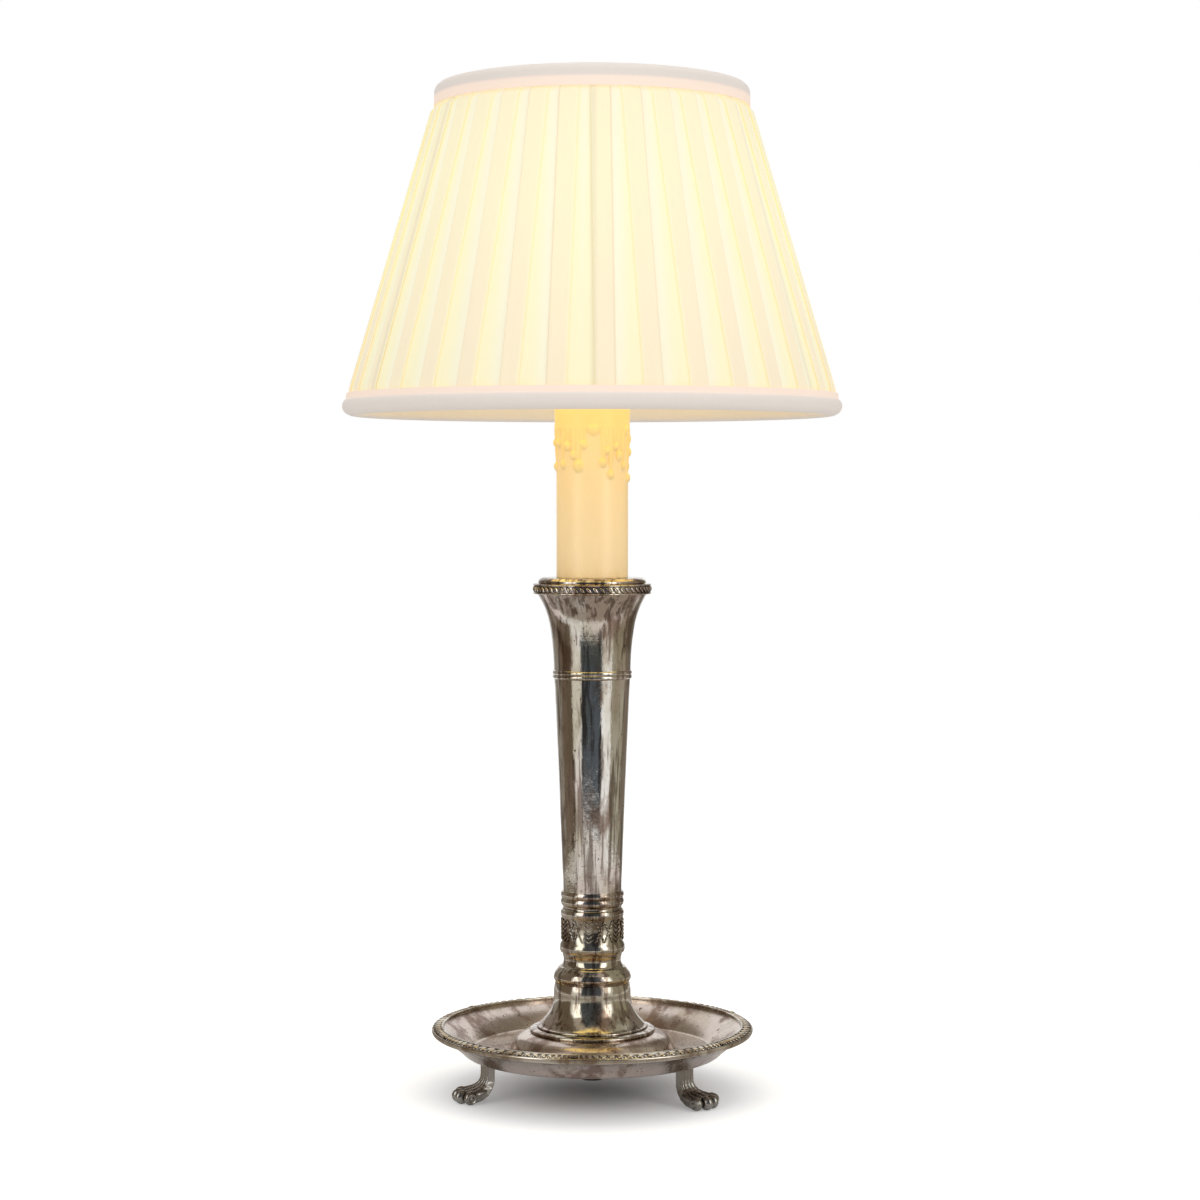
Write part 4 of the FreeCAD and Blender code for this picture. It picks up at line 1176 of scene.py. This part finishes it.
@dataclass
class Tray:
    """The spun drip tray and its cast border of shells and growing gadroons."""

    wall: float = 1.8
    boss: float = 31.8
    well_inner: float = 44.0
    well_outer: float = 59.0
    bore: float = 5.1
    shells: int = 6
    lobes: int = 10
    first_pitch: float = 2.1
    last_pitch: float = 5.5
    band_radius: float = 77.75
    shell_gap: float = 1.7
    rib: Triple = (1.85, 0.42, 0.75)
    rib_angle: float = 20.0
    rib_level: float = 33.55
    lobe_level: float = 33.2

    def plate(self) -> bpy.types.Object:
        """Turn the tray itself."""
        s = Span.of("tray")
        low, rim = s.low, s.high
        top = low + self.wall
        return turned("drip_tray", outline(
            (self.bore, low + 9.6), (self.boss - 0.6, low + 9.6), (self.boss + 3.4, low + 7.8),
            ((self.boss + 5.6, low + 5.2), (self.boss + 7.5, low + 2.2)),
            ((self.boss + 8.9, low + 0.7), (self.well_inner - 1.0, low)),
            (self.well_outer + 2.4, low),
            ((self.well_outer + 5.2, low + 0.8), (self.well_outer + 7.2, low + 2.6)),
            (s.radius - 1.6, rim - 1.6), (s.radius, rim - 1.4), (s.radius, rim),
            (s.radius - 4.0, rim),
            (self.well_outer + 2.4, top + 1.2),
            ((self.well_outer + 1.3, top + 0.3), (self.well_outer, top)),
            (self.well_inner, top),
            ((self.well_inner - 2.3, top + 0.9), (self.well_inner - 3.6, top + 2.6)),
            ((self.well_inner - 5.3, top + 5.8), (self.well_inner - 7.6, top + 7.7)),
            (self.boss, low + 11.4), (self.bore, low + 11.4)))

    def shell(self, blank: bpy.types.Object) -> list[bpy.types.Object]:
        """Shape a fan of narrow ribs, pointing along +X.

        Args:
            blank: the blank for the ribs.

        Returns:
            The ribs.
        """
        parts = []
        for number in range(-2, 3):
            angle = number * self.rib_angle
            reach = self.rib[0] - 0.1 * abs(number)
            x, y, z = polar(reach, angle, self.rib_level - 0.05 * abs(number))
            parts.append(stamp(blank, (reach, *self.rib[1:]), (self.band_radius - 1.5 + x, y, z), (0, 6, angle)))
        return parts

    def border(self) -> bpy.types.Object:
        """Turn the border's bed and set its shells and gadroons on it."""
        s = Span.of("tray_rim_gadroon")
        edge, inner = s.radius, s.radius - 6.0
        bed = turned("tray_border", outline(
            (inner, 32.4), (inner, 33.3),
            ((inner + 0.1, 33.95), (inner + 0.65, 34.15)),
            ((inner + 1.15, 33.95), (inner + 1.35, 33.35)),
            ((inner + 3.0, 33.35), (inner + 4.7, 32.75)),
            (inner + 4.85, 32.6),
            ((inner + 5.6, 32.75), (edge, 32.0)),
            ((edge - 0.2, 30.9), (edge - 2.0, 30.0)),
            (edge - 2.0, 32.4)))
        blank = bead(12, 7)
        parts = self.shell(blank)
        sector = math.radians(180.0 / self.shells) * self.band_radius
        pitches = [self.first_pitch + (self.last_pitch - self.first_pitch) * i / (self.lobes - 1)
                   for i in range(self.lobes)]
        spread = (sector - self.shell_gap) / sum(pitches)
        for side in (-1, 1):
            along = self.shell_gap
            for number, pitch in enumerate(pitches):
                width = pitch * spread
                angle = math.degrees((along + width / 2) / self.band_radius) * side
                slant = (6.0 + 3.2 * number) * side
                parts.append(stamp(blank, (2.15 + 0.04 * number, width * 0.44, 0.85),
                                   polar(self.band_radius, angle, self.lobe_level), (0, 9, angle + slant)))
                along += width
        discard(blank)
        sector_piece = seat(join("sector", parts))
        smooth(sector_piece, CAST_CREASE)
        lobes = ring_of("lobes", turn(sector_piece, -90.0), self.shells)
        return join("tray_border", [bed, lobes])

    def build(self, finishes: Finishes) -> None:
        """Make the tray and its border and set them in place."""
        finishes.fit(self.plate(), "tray", "candlestick", Plate.TRAY)
        finishes.fit(self.border(), "tray_rim_gadroon", "candlestick", Plate.BORDER)


# ---------------------------------------------------------------- column
@dataclass
class Column:
    """The turned pieces from the tray's boss to the candle cup."""

    wall: float = 1.1
    cup_lobes: int = 54
    band_cells: int = 6
    band_radius: float = 15.3
    chevrons: int = 5
    chevron_first: float = 7.0
    chevron_pitch: float = 2.2
    cut: Triple = (0.6, 0.4, 1.85)
    bar_leaves: int = 6
    leaf: Triple = (0.65, 0.5, 1.2)
    bar_first: float = 6.1
    bar_height: float = 10.8
    rope_lobe: Triple = (0.95, 0.95, 2.0)
    rope_slant: float = 48.0

    def ring(self) -> bpy.types.Object:
        """The ring that the bell stands on."""
        s = Span.of("bell_foot_ring")
        return turned("bell_ring", outline(
            (18.0, s.low), (31.0, s.low), ((s.radius, s.low + 0.75), (31.0, s.low + 1.5)),
            ((29.6, s.low + 2.0), (28.4, s.high)), (18.0, s.high)))

    def bell(self) -> bpy.types.Object:
        """The spun bell foot."""
        s = Span.of("bell_foot")
        return turned("bell", outline(
            (26.3, s.low), (27.6, s.low), ((27.9, s.low + 0.5), (27.3, s.low + 1.0)),
            ((23.4, s.low + 5.1), (20.8, s.low + 8.9)), ((19.6, s.low + 13.2), (19.3, s.low + 17.0)),
            ((19.1, s.low + 20.2), (18.7, s.high)), (17.5, s.high),
            ((18.0, s.low + 17.0), (18.3, s.low + 13.2)), ((20.5, s.low + 7.0), (25.6, s.low + 1.2))))

    def knop(self) -> bpy.types.Object:
        """The double-ringed knop and the neck above it."""
        s = Span.of("neck_knop")
        return turned("knop", outline(
            (13.0, s.low), (18.4, s.low), ((18.7, s.low + 0.8), (19.1, s.low + 1.5)),
            ((s.radius, s.low + 2.9), (19.1, s.low + 4.3)), (18.9, s.low + 5.1),
            ((17.6, s.low + 6.7), (16.7, s.low + 7.9)), ((15.1, s.low + 9.1), (14.5, s.low + 10.9)),
            ((14.4, s.low + 12.1), (14.7, s.low + 13.4)), (15.1, s.high), (13.0, s.high)))

    def collar(self) -> bpy.types.Object:
        """The collar with its engraved band of chevrons and leafy bars."""
        s = Span.of("column_foot_collar")
        drum = turned("collar", outline(
            (13.4, s.low), (15.9, s.low), ((s.radius, s.low + 2.2), (15.9, s.low + 4.6)),
            (15.2, s.low + 5.6), (15.2, s.low + 17.2), ((15.9, s.low + 19.4), (15.6, s.low + 21.2)),
            ((14.7, s.low + 22.5), (15.4, s.low + 23.8)), ((15.9, s.low + 25.4), (15.5, s.low + 27.0)),
            (15.3, s.low + 27.3), (15.5, s.low + 27.6), ((15.9, s.low + 29.1), (15.4, s.high)),
            (13.4, s.high)))
        blank = bead(8, 6)
        cell = seat(join("cell", self.chevron_cuts(blank, s) + self.bars(blank, s)))
        smooth(cell, CAST_CREASE)
        discard(blank)
        pattern = ring_of("pattern", turn(cell, -90.0), self.band_cells)
        return join("collar", [drum, pattern])

    def chevron_cuts(self, blank: bpy.types.Object, s: Span) -> list[bpy.types.Object]:
        """Shape nested Vs in the middle of one cell, which points along +X.

        Args:
            blank: the blank for the cuts.
            s: the collar's span.

        Returns:
            The cuts.
        """
        parts = []
        for row in range(self.chevrons):
            z = s.low + self.chevron_first + row * self.chevron_pitch
            for angle, lean in ((-4.4, 50), (4.4, -50)):
                parts.append(stamp(blank, self.cut, polar(self.band_radius, angle, z), (lean, 0, angle)))
        return parts

    def bars(self, blank: bpy.types.Object, s: Span) -> list[bpy.types.Object]:
        """Shape crossed rows of leaves on both sides of one cell.

        Args:
            blank: the blank for the leaves.
            s: the collar's span.

        Returns:
            The leaves.
        """
        parts = []
        half = 180.0 / self.band_cells
        for side in (-1, 1):
            for step in range(self.bar_leaves):
                share = (step + 0.5) / self.bar_leaves
                angle = side * half * (0.42 + 0.58 * share)
                for rise, lean in ((share, -40), (1 - share, 40)):
                    place = polar(self.band_radius, angle, s.low + self.bar_first + self.bar_height * rise)
                    parts.append(stamp(blank, self.leaf, place, (lean * side, 0, angle)))
        return parts

    def shaft(self) -> bpy.types.Object:
        """The long tapered shell."""
        s = Span.of("column_shell")
        w = self.wall
        return turned("shaft", outline(
            (14.7, s.low), ((14.75, s.low + 4.5), (15.0, s.low + 10.5)),
            ((17.05, 165.0), (18.7, 203.0)), (19.0, s.high), (19.0 - w, s.high), (18.7 - w, 203.0),
            ((17.05 - w, 165.0), (15.0 - w, s.low + 10.5)), (14.7 - w, s.low)))

    def cup_ring(self) -> bpy.types.Object:
        """The double ring under the cup."""
        s = Span.of("cup_band")
        return turned("cup_ring", outline(
            (17.7, s.low), (19.2, s.low), ((s.radius, s.low + 1.1), (19.5, s.low + 2.2)),
            ((s.radius, s.low + 3.3), (19.3, s.high)), (17.7, s.high)))

    def cup(self) -> bpy.types.Object:
        """The flared cup."""
        s = Span.of("cup_shell")
        w = self.wall
        return turned("cup", outline(
            (19.2, s.low), ((19.85, s.low + 12.3), (21.4, s.low + 23.3)), ((23.6, s.low + 30.7), (27.4, s.high)),
            (27.4 - w, s.high), ((23.6 - w, s.low + 30.9), (21.4 - w, s.low + 23.3)),
            ((19.85 - w, s.low + 12.3), (19.2 - w, s.low))))

    def cup_rim(self) -> bpy.types.Object:
        """The cup's rim: a slanted rope between two fine beads."""
        s = Span.of("cup_rim_gadroon")
        bed = turned("cup_rim", outline(
            (25.0, s.low), (28.9, s.low), ((29.55, s.low + 0.45), (29.0, s.low + 0.9)), (28.9, s.low + 1.0),
            (28.9, s.high - 1.0), (29.1, s.high - 0.9), ((29.6, s.high - 0.45), (29.0, s.high)), (25.0, s.high)))
        blank = bead(12, 8)
        place = (s.radius - 1.45, 0, s.low + 2.45)
        lobe = seat(join("lobe", [stamp(blank, self.rope_lobe, place, (self.rope_slant, 0, 0))]))
        smooth(lobe, CAST_CREASE)
        discard(blank)
        rope = ring_of("rope", lobe, self.cup_lobes)
        return join("cup_rim", [bed, rope])

    def nozzle(self) -> bpy.types.Object:
        """The disc that closes the cup and carries the candle sleeve."""
        s = Span.of("nozzle_disc")
        top = s.low + 8.0
        return turned("nozzle", outline(
            (14.7, s.low), (25.0, s.low), (25.0, s.low + 5.0), (26.6, s.low + 5.0),
            ((27.0, s.low + 6.2), (26.4, s.low + 7.1)), ((25.4, s.low + 7.8), (23.8, top)),
            (16.2, top), (16.2, s.high), (14.7, s.high)))

    def build(self, finishes: Finishes) -> None:
        """Make every turned piece and set it in its node's place.

        Args:
            finishes: the lamp's finishes.
        """
        makers = {
            "bell_foot_ring": self.ring, "bell_foot": self.bell, "neck_knop": self.knop,
            "column_foot_collar": self.collar, "column_shell": self.shaft, "cup_band": self.cup_ring,
            "cup_shell": self.cup, "cup_rim_gadroon": self.cup_rim, "nozzle_disc": self.nozzle,
        }
        for node, maker in makers.items():
            finishes.fit(maker(), node, "candlestick")


# ---------------------------------------------------------------- candle
@dataclass
class CandleSleeve:
    """The candle sleeve, its coat of wax and the runs of wax down its side."""

    radius: float = 17.93
    bore: float = 16.5
    coat_radius: float = 18.75
    coat_from: float = 333.0
    drop_depth: float = 2.05
    run_depth: float = 1.3
    runs: tuple[tuple[float, float, float], ...] = (
        (278.7, 5.4, 329.4), (254.4, 5.6, 311.2), (262.5, 4.2, 322.5), (245.5, 4.0, 317.5), (293.4, 4.2, 313.6),
        (300.2, 3.4, 320.0), (306.9, 4.0, 307.8), (316.0, 3.6, 322.0), (323.4, 4.6, 316.8), (334.0, 3.8, 312.4),
        (343.0, 5.0, 329.6), (350.5, 4.4, 306.0), (234.8, 4.4, 321.8), (224.3, 3.8, 312.9), (212.0, 4.2, 323.5),
        (199.0, 3.8, 312.2), (187.0, 3.8, 324.0), (3.0, 4.2, 319.0), (14.0, 4.6, 325.5), (27.0, 5.0, 311.5),
        (46.0, 4.0, 326.0), (64.0, 5.2, 316.0), (85.0, 4.2, 308.5), (104.0, 5.6, 324.0), (124.0, 4.4, 312.0),
        (147.0, 5.0, 320.5), (166.0, 4.2, 310.5))

    def build(self, finishes: Finishes) -> None:
        """Turn the tube, lay the runs on it, melt them together and set the sleeve in place.

        Args:
            finishes: the lamp's finishes.
        """
        s = Span.of("candle_sleeve")
        tube = turned("tube", outline(
            (self.bore, s.low), (self.radius, s.low), (self.radius, self.coat_from - 2.0),
            ((self.radius + 0.45, self.coat_from - 1.3), (self.coat_radius, self.coat_from + 1.5)),
            (self.coat_radius, s.high - 1.2),
            ((self.coat_radius - 0.3, s.high - 0.3), (self.coat_radius - 1, s.high)),
            (self.bore, s.high)), Steps.MEDIUM)
        blank = bead(16, 10)
        parts = [tube]
        for angle, width, lowest in self.runs:
            half = width / 2
            drop = polar(self.radius - 0.35, angle, lowest + half * 1.15)
            parts.append(stamp(blank, (self.drop_depth, half * 1.05, half * 1.25), drop, (0, 0, angle)))
            reach = (self.coat_from + 4 - lowest) / 2
            run = polar(self.radius - 0.25, angle, lowest + half + reach)
            parts.append(stamp(blank, (self.run_depth, half * 0.82, reach), run, (0, 0, angle)))
        discard(blank)
        piece = seat(join("candle_tube", parts))
        melt(piece, voxel=0.4, rounds=1, keep=0.4)
        finishes.fit(piece, "candle_sleeve", "candle")


# ---------------------------------------------------------------- shade
@dataclass
class Shade:
    """The pleated cover, the lining and the two bound edges of the cone shade."""

    pleats: int = 34
    first_pleat: float = 279.5
    band: float = 9.0
    levels: tuple[tuple[float, float, float], ...] = (
        (341.4, 121.0, 0.5), (352.5, 121.0, 1.1), (420.0, 100.9, 1.1), (488.8, 80.4, 1.1),
        (491.6, 77.4, 0.7), (500.2, 76.9, 0.5))
    cloth: float = 0.22
    lining_low: Point = (117.0, 343.0)
    lining_high: Point = (71.6, 496.5)
    lining_slack: float = 2.5
    lining_wall: float = 0.4
    binding_radii: Point = (74.4, 119.0)
    binding_strips: Point = (21.0, 29.0)
    rings: tuple[str, str] = ("shade_top_ring", "shade_bottom_ring")

    def pleat_section(self, z: float, radius: float, depth: float) -> list[Triple]:
        """One pleat's cloth seen from above: under, back out, over the band and the same way round.

        Args:
            z: height of this section.
            radius: the band's outer radius.
            depth: how far behind it the plain cloth lies.

        Returns:
            Places along the cloth, for a pleat that points along +X.
        """
        half = self.band / 2
        edge = math.pi * radius / self.pleats
        side = [(edge, 1.0), (half + 1.2, 1.0), (half - 0.6, 1.02), (1.2, 1.02), (0.45, 0.9), (0.45, 0.68),
                (1.2, 0.56), (half - 0.5, 0.52), (half, 0.4), (half, 0.16), (half - 0.5, 0.02),
                (half - 1.6, 0.0)]
        run = [(-u, d) for u, d in side] + [(0.0, 0.0)] + [(u, d) for u, d in reversed(side)]
        return [polar(radius - share * depth, math.degrees(u / radius), z) for u, share in run]

    def cover(self) -> bpy.types.Object:
        """Pleat the cover: one pleat is drawn at each level, bridged, and copied round."""
        rows = [chain("row", self.pleat_section(*level)) for level in self.levels]
        pleat = join("pleat", rows)
        with editing(pleat):
            bpy.ops.mesh.select_mode(type="EDGE")
            bpy.ops.mesh.select_all(action="SELECT")
            bpy.ops.mesh.bridge_edge_loops(type="SINGLE")
        piece = ring_of("cover", turn(pleat, self.first_pleat), self.pleats)
        close_up(piece, 0.02)
        work(piece, "SOLIDIFY", thickness=self.cloth * MM, offset=-1.0, use_even_offset=False)
        smooth(piece)
        return piece

    def lining(self) -> bpy.types.Object:
        """The smooth lining, drawn in a little between the rings."""
        low, high, wall = self.lining_low, self.lining_high, self.lining_wall
        middle = ((low[0] + high[0]) / 2 - self.lining_slack, (low[1] + high[1]) / 2)
        return turned("lining", outline(
            low, (middle, high), (high[0] - wall, high[1]),
            ((middle[0] - wall, middle[1]), (low[0] - wall, low[1]))))

    def top_trim(self) -> bpy.types.Object:
        """The bound upper edge."""
        return turned("top_binding", outline(
            (77.6, 492.0), (78.5, 492.0), (78.3, 499.6), ((74.4, 503.0), (70.3, 499.6)), (70.3, 495.4),
            (71.0, 495.4), (71.0, 499.6), ((74.3, 502.0), (77.5, 499.6))))

    def bottom_trim(self) -> bpy.types.Object:
        """The bound lower edge."""
        return turned("bottom_binding", outline(
            (121.6, 350.2), (122.3, 350.2), (122.4, 347.6), ((124.3, 343.4), (121.7, 340.0)),
            ((118.3, 339.3), (115.0, 341.2)), (113.7, 346.4), (114.4, 346.4), (115.6, 341.9),
            ((118.5, 340.2), (121.2, 340.7)), ((122.1, 342.4), (121.7, 344.8))))

    def build(self, finishes: Finishes) -> None:
        """Args:
            finishes: the lamp's finishes.
        """
        cloths = (self.cover(), self.lining(), self.top_trim(), self.bottom_trim())
        for cloth, node in zip(cloths, ("shade_cover", "shade_lining", "shade_top_trim", "shade_bottom_trim")):
            finishes.fit(cloth, node, "shade")


# ---------------------------------------------------------------- studio
@dataclass(frozen=True)
class Card:
    """A curved card round the lamp that only reflections see.

    Its azimuth and width are in degrees, with 0 towards the camera, and its height and
    distance in mm.
    """

    name: str
    azimuth: float
    width: float
    height: float
    distance: float
    tone: Colour


@dataclass(frozen=True)
class Softbox:
    """A soft lamp: its place and size in metres and its power in watts."""

    name: str
    place: Triple
    size: Point
    power: float


@dataclass
class Studio:
    """Floor, light, cards and camera."""

    camera_place: Triple = (0.1575, -1.3408, 0.302)
    lens: float = 81.0
    sensor: float = 36.0
    tilt: float = -2.31
    aim_right: float = 0.0039
    aim_height: float = 0.25
    ambient: float = 0.62
    floor_size: float = 12.0
    floor_tone: float = 0.85
    floor_glow: float = 0.5
    floor_mirrored: float = 0.15
    shadow_reach: float = 0.125
    camera_azimuth: float = -83.3
    card_steps: int = 24
    cards: tuple[Card, ...] = (
        Card("front_card", -3.0, 64.0, 2400.0, 700.0, (0.09, 0.105, 0.125)),
        Card("left_card", -88.0, 48.0, 1500.0, 600.0, (0.19, 0.15, 0.11)),
        Card("left_rear_card", -132.0, 40.0, 1500.0, 600.0, (0.30, 0.27, 0.23)),
        Card("right_card", 89.0, 54.0, 1500.0, 620.0, (0.44, 0.41, 0.33)),
        Card("right_rear_card", 137.0, 42.0, 1500.0, 620.0, (0.24, 0.21, 0.17)),
    )
    ceiling_place: Triple = (0, -0.4, 1.9)
    ceiling_radius: float = 1.5
    ceiling_tone: Colour = (0.58, 0.52, 0.47)
    # floor card: a ring round the lamp that only reflections see, painted shadow of the floor there
    floor_card_reach: Point = (86.0, 430.0)
    floor_card_height: float = 0.6
    floor_card_tone: Colour = (0.42, 0.375, 0.33)
    softboxes: tuple[Softbox, ...] = (
        Softbox("left_softbox", (-1.05, -1.25, 0.8), (0.75, 1.4), 4.5),
        Softbox("right_softbox", (1.38, -1.02, 0.8), (0.6, 1.4), 6.0),
        Softbox("top_softbox", (0.0, 0.1, 2.2), (1.4, 1.4), 9.0),
    )

    def seen(self, graph: Graph, camera: float, reflection: float) -> Socket:
        """Shine on the camera and in reflections, and light nothing.

        Args:
            graph: the material's or the world's graph.
            camera: strength for the camera.
            reflection: strength in reflections and through glass.

        Returns:
            The strength.
        """
        path = graph.node("LightPath").outputs
        mirrored = graph.math("MAXIMUM", path["Is Glossy Ray"], path["Is Transmission Ray"])
        straight = graph.times(path["Is Camera Ray"], camera)
        return graph.math("MAXIMUM", straight, graph.times(mirrored, reflection))

    def floor_recipe(self, graph: Graph) -> dict[str, object]:
        """A matt floor that glows white, but not under the lamp, where a painted shadow takes the glow away.

        Args:
            graph: the material's graph.

        Returns:
            The shader's inputs by name.
        """
        x, y, _ = graph.axes()
        # the glow fades towards the axis: a painted shadow round the lamp's foot
        clear = graph.span(graph.from_axis(x, y), 0.0, self.shadow_reach)
        glow = graph.times(self.seen(graph, self.floor_glow, self.floor_mirrored), clear)
        return {"Base Color": (self.floor_tone,) * 3, "Roughness": 1.0, "Specular IOR Level": 0.0,
                "Emission Color": (1.0, 1.0, 1.0), "Emission Strength": glow}

    def floor(self) -> None:
        """A pale floor that shows white, keeps the lamp's shadow and has a painted shadow under it."""
        bpy.ops.object.select_all(action="DESELECT")
        bpy.ops.mesh.primitive_plane_add(size=self.floor_size)
        floor = fresh("floor")
        floor.data.materials.append(new_material("pale_floor", self.floor_recipe))

    def world(self) -> None:
        """White to the camera, metal and glass, and a soft light for the rest."""
        world = bpy.data.worlds.new("studio")
        world.use_nodes = True
        graph = Graph(world.node_tree)
        back = world.node_tree.nodes["Background"]
        white = graph.mix(self.seen(graph, 1.0, 1.0), (self.ambient,) * 3, (1.0, 1.0, 1.0))
        graph.feed(back.inputs["Color"], white)
        graph.feed(back.inputs["Strength"], 1.0)
        bpy.context.scene.world = world

    def tone_card(self, sheet: bpy.types.Object, tone: Colour) -> None:
        """Paint a card one tone and hide it from all but reflections.

        Args:
            sheet: the card.
            tone: its colour.
        """
        sheet.data.materials.append(new_material(sheet.name, lambda graph: {
            "Base Color": (0.0, 0.0, 0.0), "Specular IOR Level": 0.0, "Emission Color": tone,
            "Emission Strength": 1.0}))
        for sight in ("camera", "diffuse", "transmission", "shadow"):
            setattr(sheet, f"visible_{sight}", False)

    def raise_card(self, card: Card) -> None:
        """Stand up one card.

        Args:
            card: its place and tone.
        """
        start = card.azimuth - card.width / 2 + self.camera_azimuth
        sheet = chain(card.name, [polar(card.distance, start + card.width * step / self.card_steps, 0.0)
                                  for step in range(self.card_steps + 1)])
        with editing(sheet):
            bpy.ops.mesh.extrude_region_move(TRANSFORM_OT_translate={"value": mm(0, 0, card.height)})
        self.tone_card(sheet, card.tone)

    def flat_cards(self) -> None:
        """Hang the ceiling card, and lay round the feet the floor card: painted shadow of the floor in
        reflections.
        """
        bpy.ops.object.select_all(action="DESELECT")
        bpy.ops.mesh.primitive_circle_add(vertices=48, radius=self.ceiling_radius, fill_type="NGON",
                                          location=self.ceiling_place)
        self.tone_card(fresh("ceiling_card"), self.ceiling_tone)
        # painted shadow of the floor, seen only in reflections
        ring = chain("floor_shadow_card", [(radius, 0.0, self.floor_card_height) for radius in self.floor_card_reach])
        with editing(ring):
            bpy.ops.mesh.spin(steps=Steps.SMALL.value, angle=FULL_TURN, center=(0, 0, 0), axis=(0, 0, 1))
        self.tone_card(ring, self.floor_card_tone)

    def lamp(self, box: Softbox) -> None:
        """Hang a soft lamp, turned to the middle of the object.

        Args:
            box: its place, size and power.
        """
        bpy.ops.object.select_all(action="DESELECT")
        bpy.ops.object.light_add(type="AREA", location=box.place)
        lamp = bpy.context.object
        lamp.name = lamp.data.name = box.name
        lamp.data.shape = "RECTANGLE"
        lamp.data.size, lamp.data.size_y = box.size
        lamp.data.energy = box.power
        towards = Vector((0, 0, self.aim_height)) - Vector(box.place)
        lamp.rotation_euler = towards.to_track_quat("-Z", "Y").to_euler()

    def camera(self) -> None:
        """The camera at the photograph's angle."""
        bpy.ops.object.select_all(action="DESELECT")
        bpy.ops.object.camera_add(location=self.camera_place)
        camera = bpy.context.object
        camera.data.lens = self.lens
        camera.data.sensor_width = self.sensor
        yaw = math.atan2(self.camera_place[0] - self.aim_right, -self.camera_place[1])
        camera.rotation_euler = (math.radians(90 + self.tilt), 0, yaw)
        bpy.context.scene.camera = camera

    def build(self) -> None:
        """Set up the floor, the world, the cards, the lamps and the camera."""
        self.floor()
        self.world()
        for card in self.cards:
            self.raise_card(card)
        self.flat_cards()
        for box in self.softboxes:
            self.lamp(box)
        self.camera()
        bpy.context.scene.view_settings.view_transform = "Standard"


def main() -> None:
    """Build the lamp over the frame, piece by piece."""
    logging.basicConfig(level=logging.INFO, format="%(name)s: %(message)s")
    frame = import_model()
    slots = {part["node"]: part["material_slot"] for part in frame["record"]["subparts"]}
    finishes = Finishes(slots)
    for node, slot in slots.items():
        finishes.dress(frame["nodes"][node], slot)
    for part in (PawFoot(), Tray(), Column(), CandleSleeve(), Shade()):
        part.build(finishes)
        log.info("%s done", type(part).__name__)
    Studio().build()


if __name__ == "__main__":
    main()
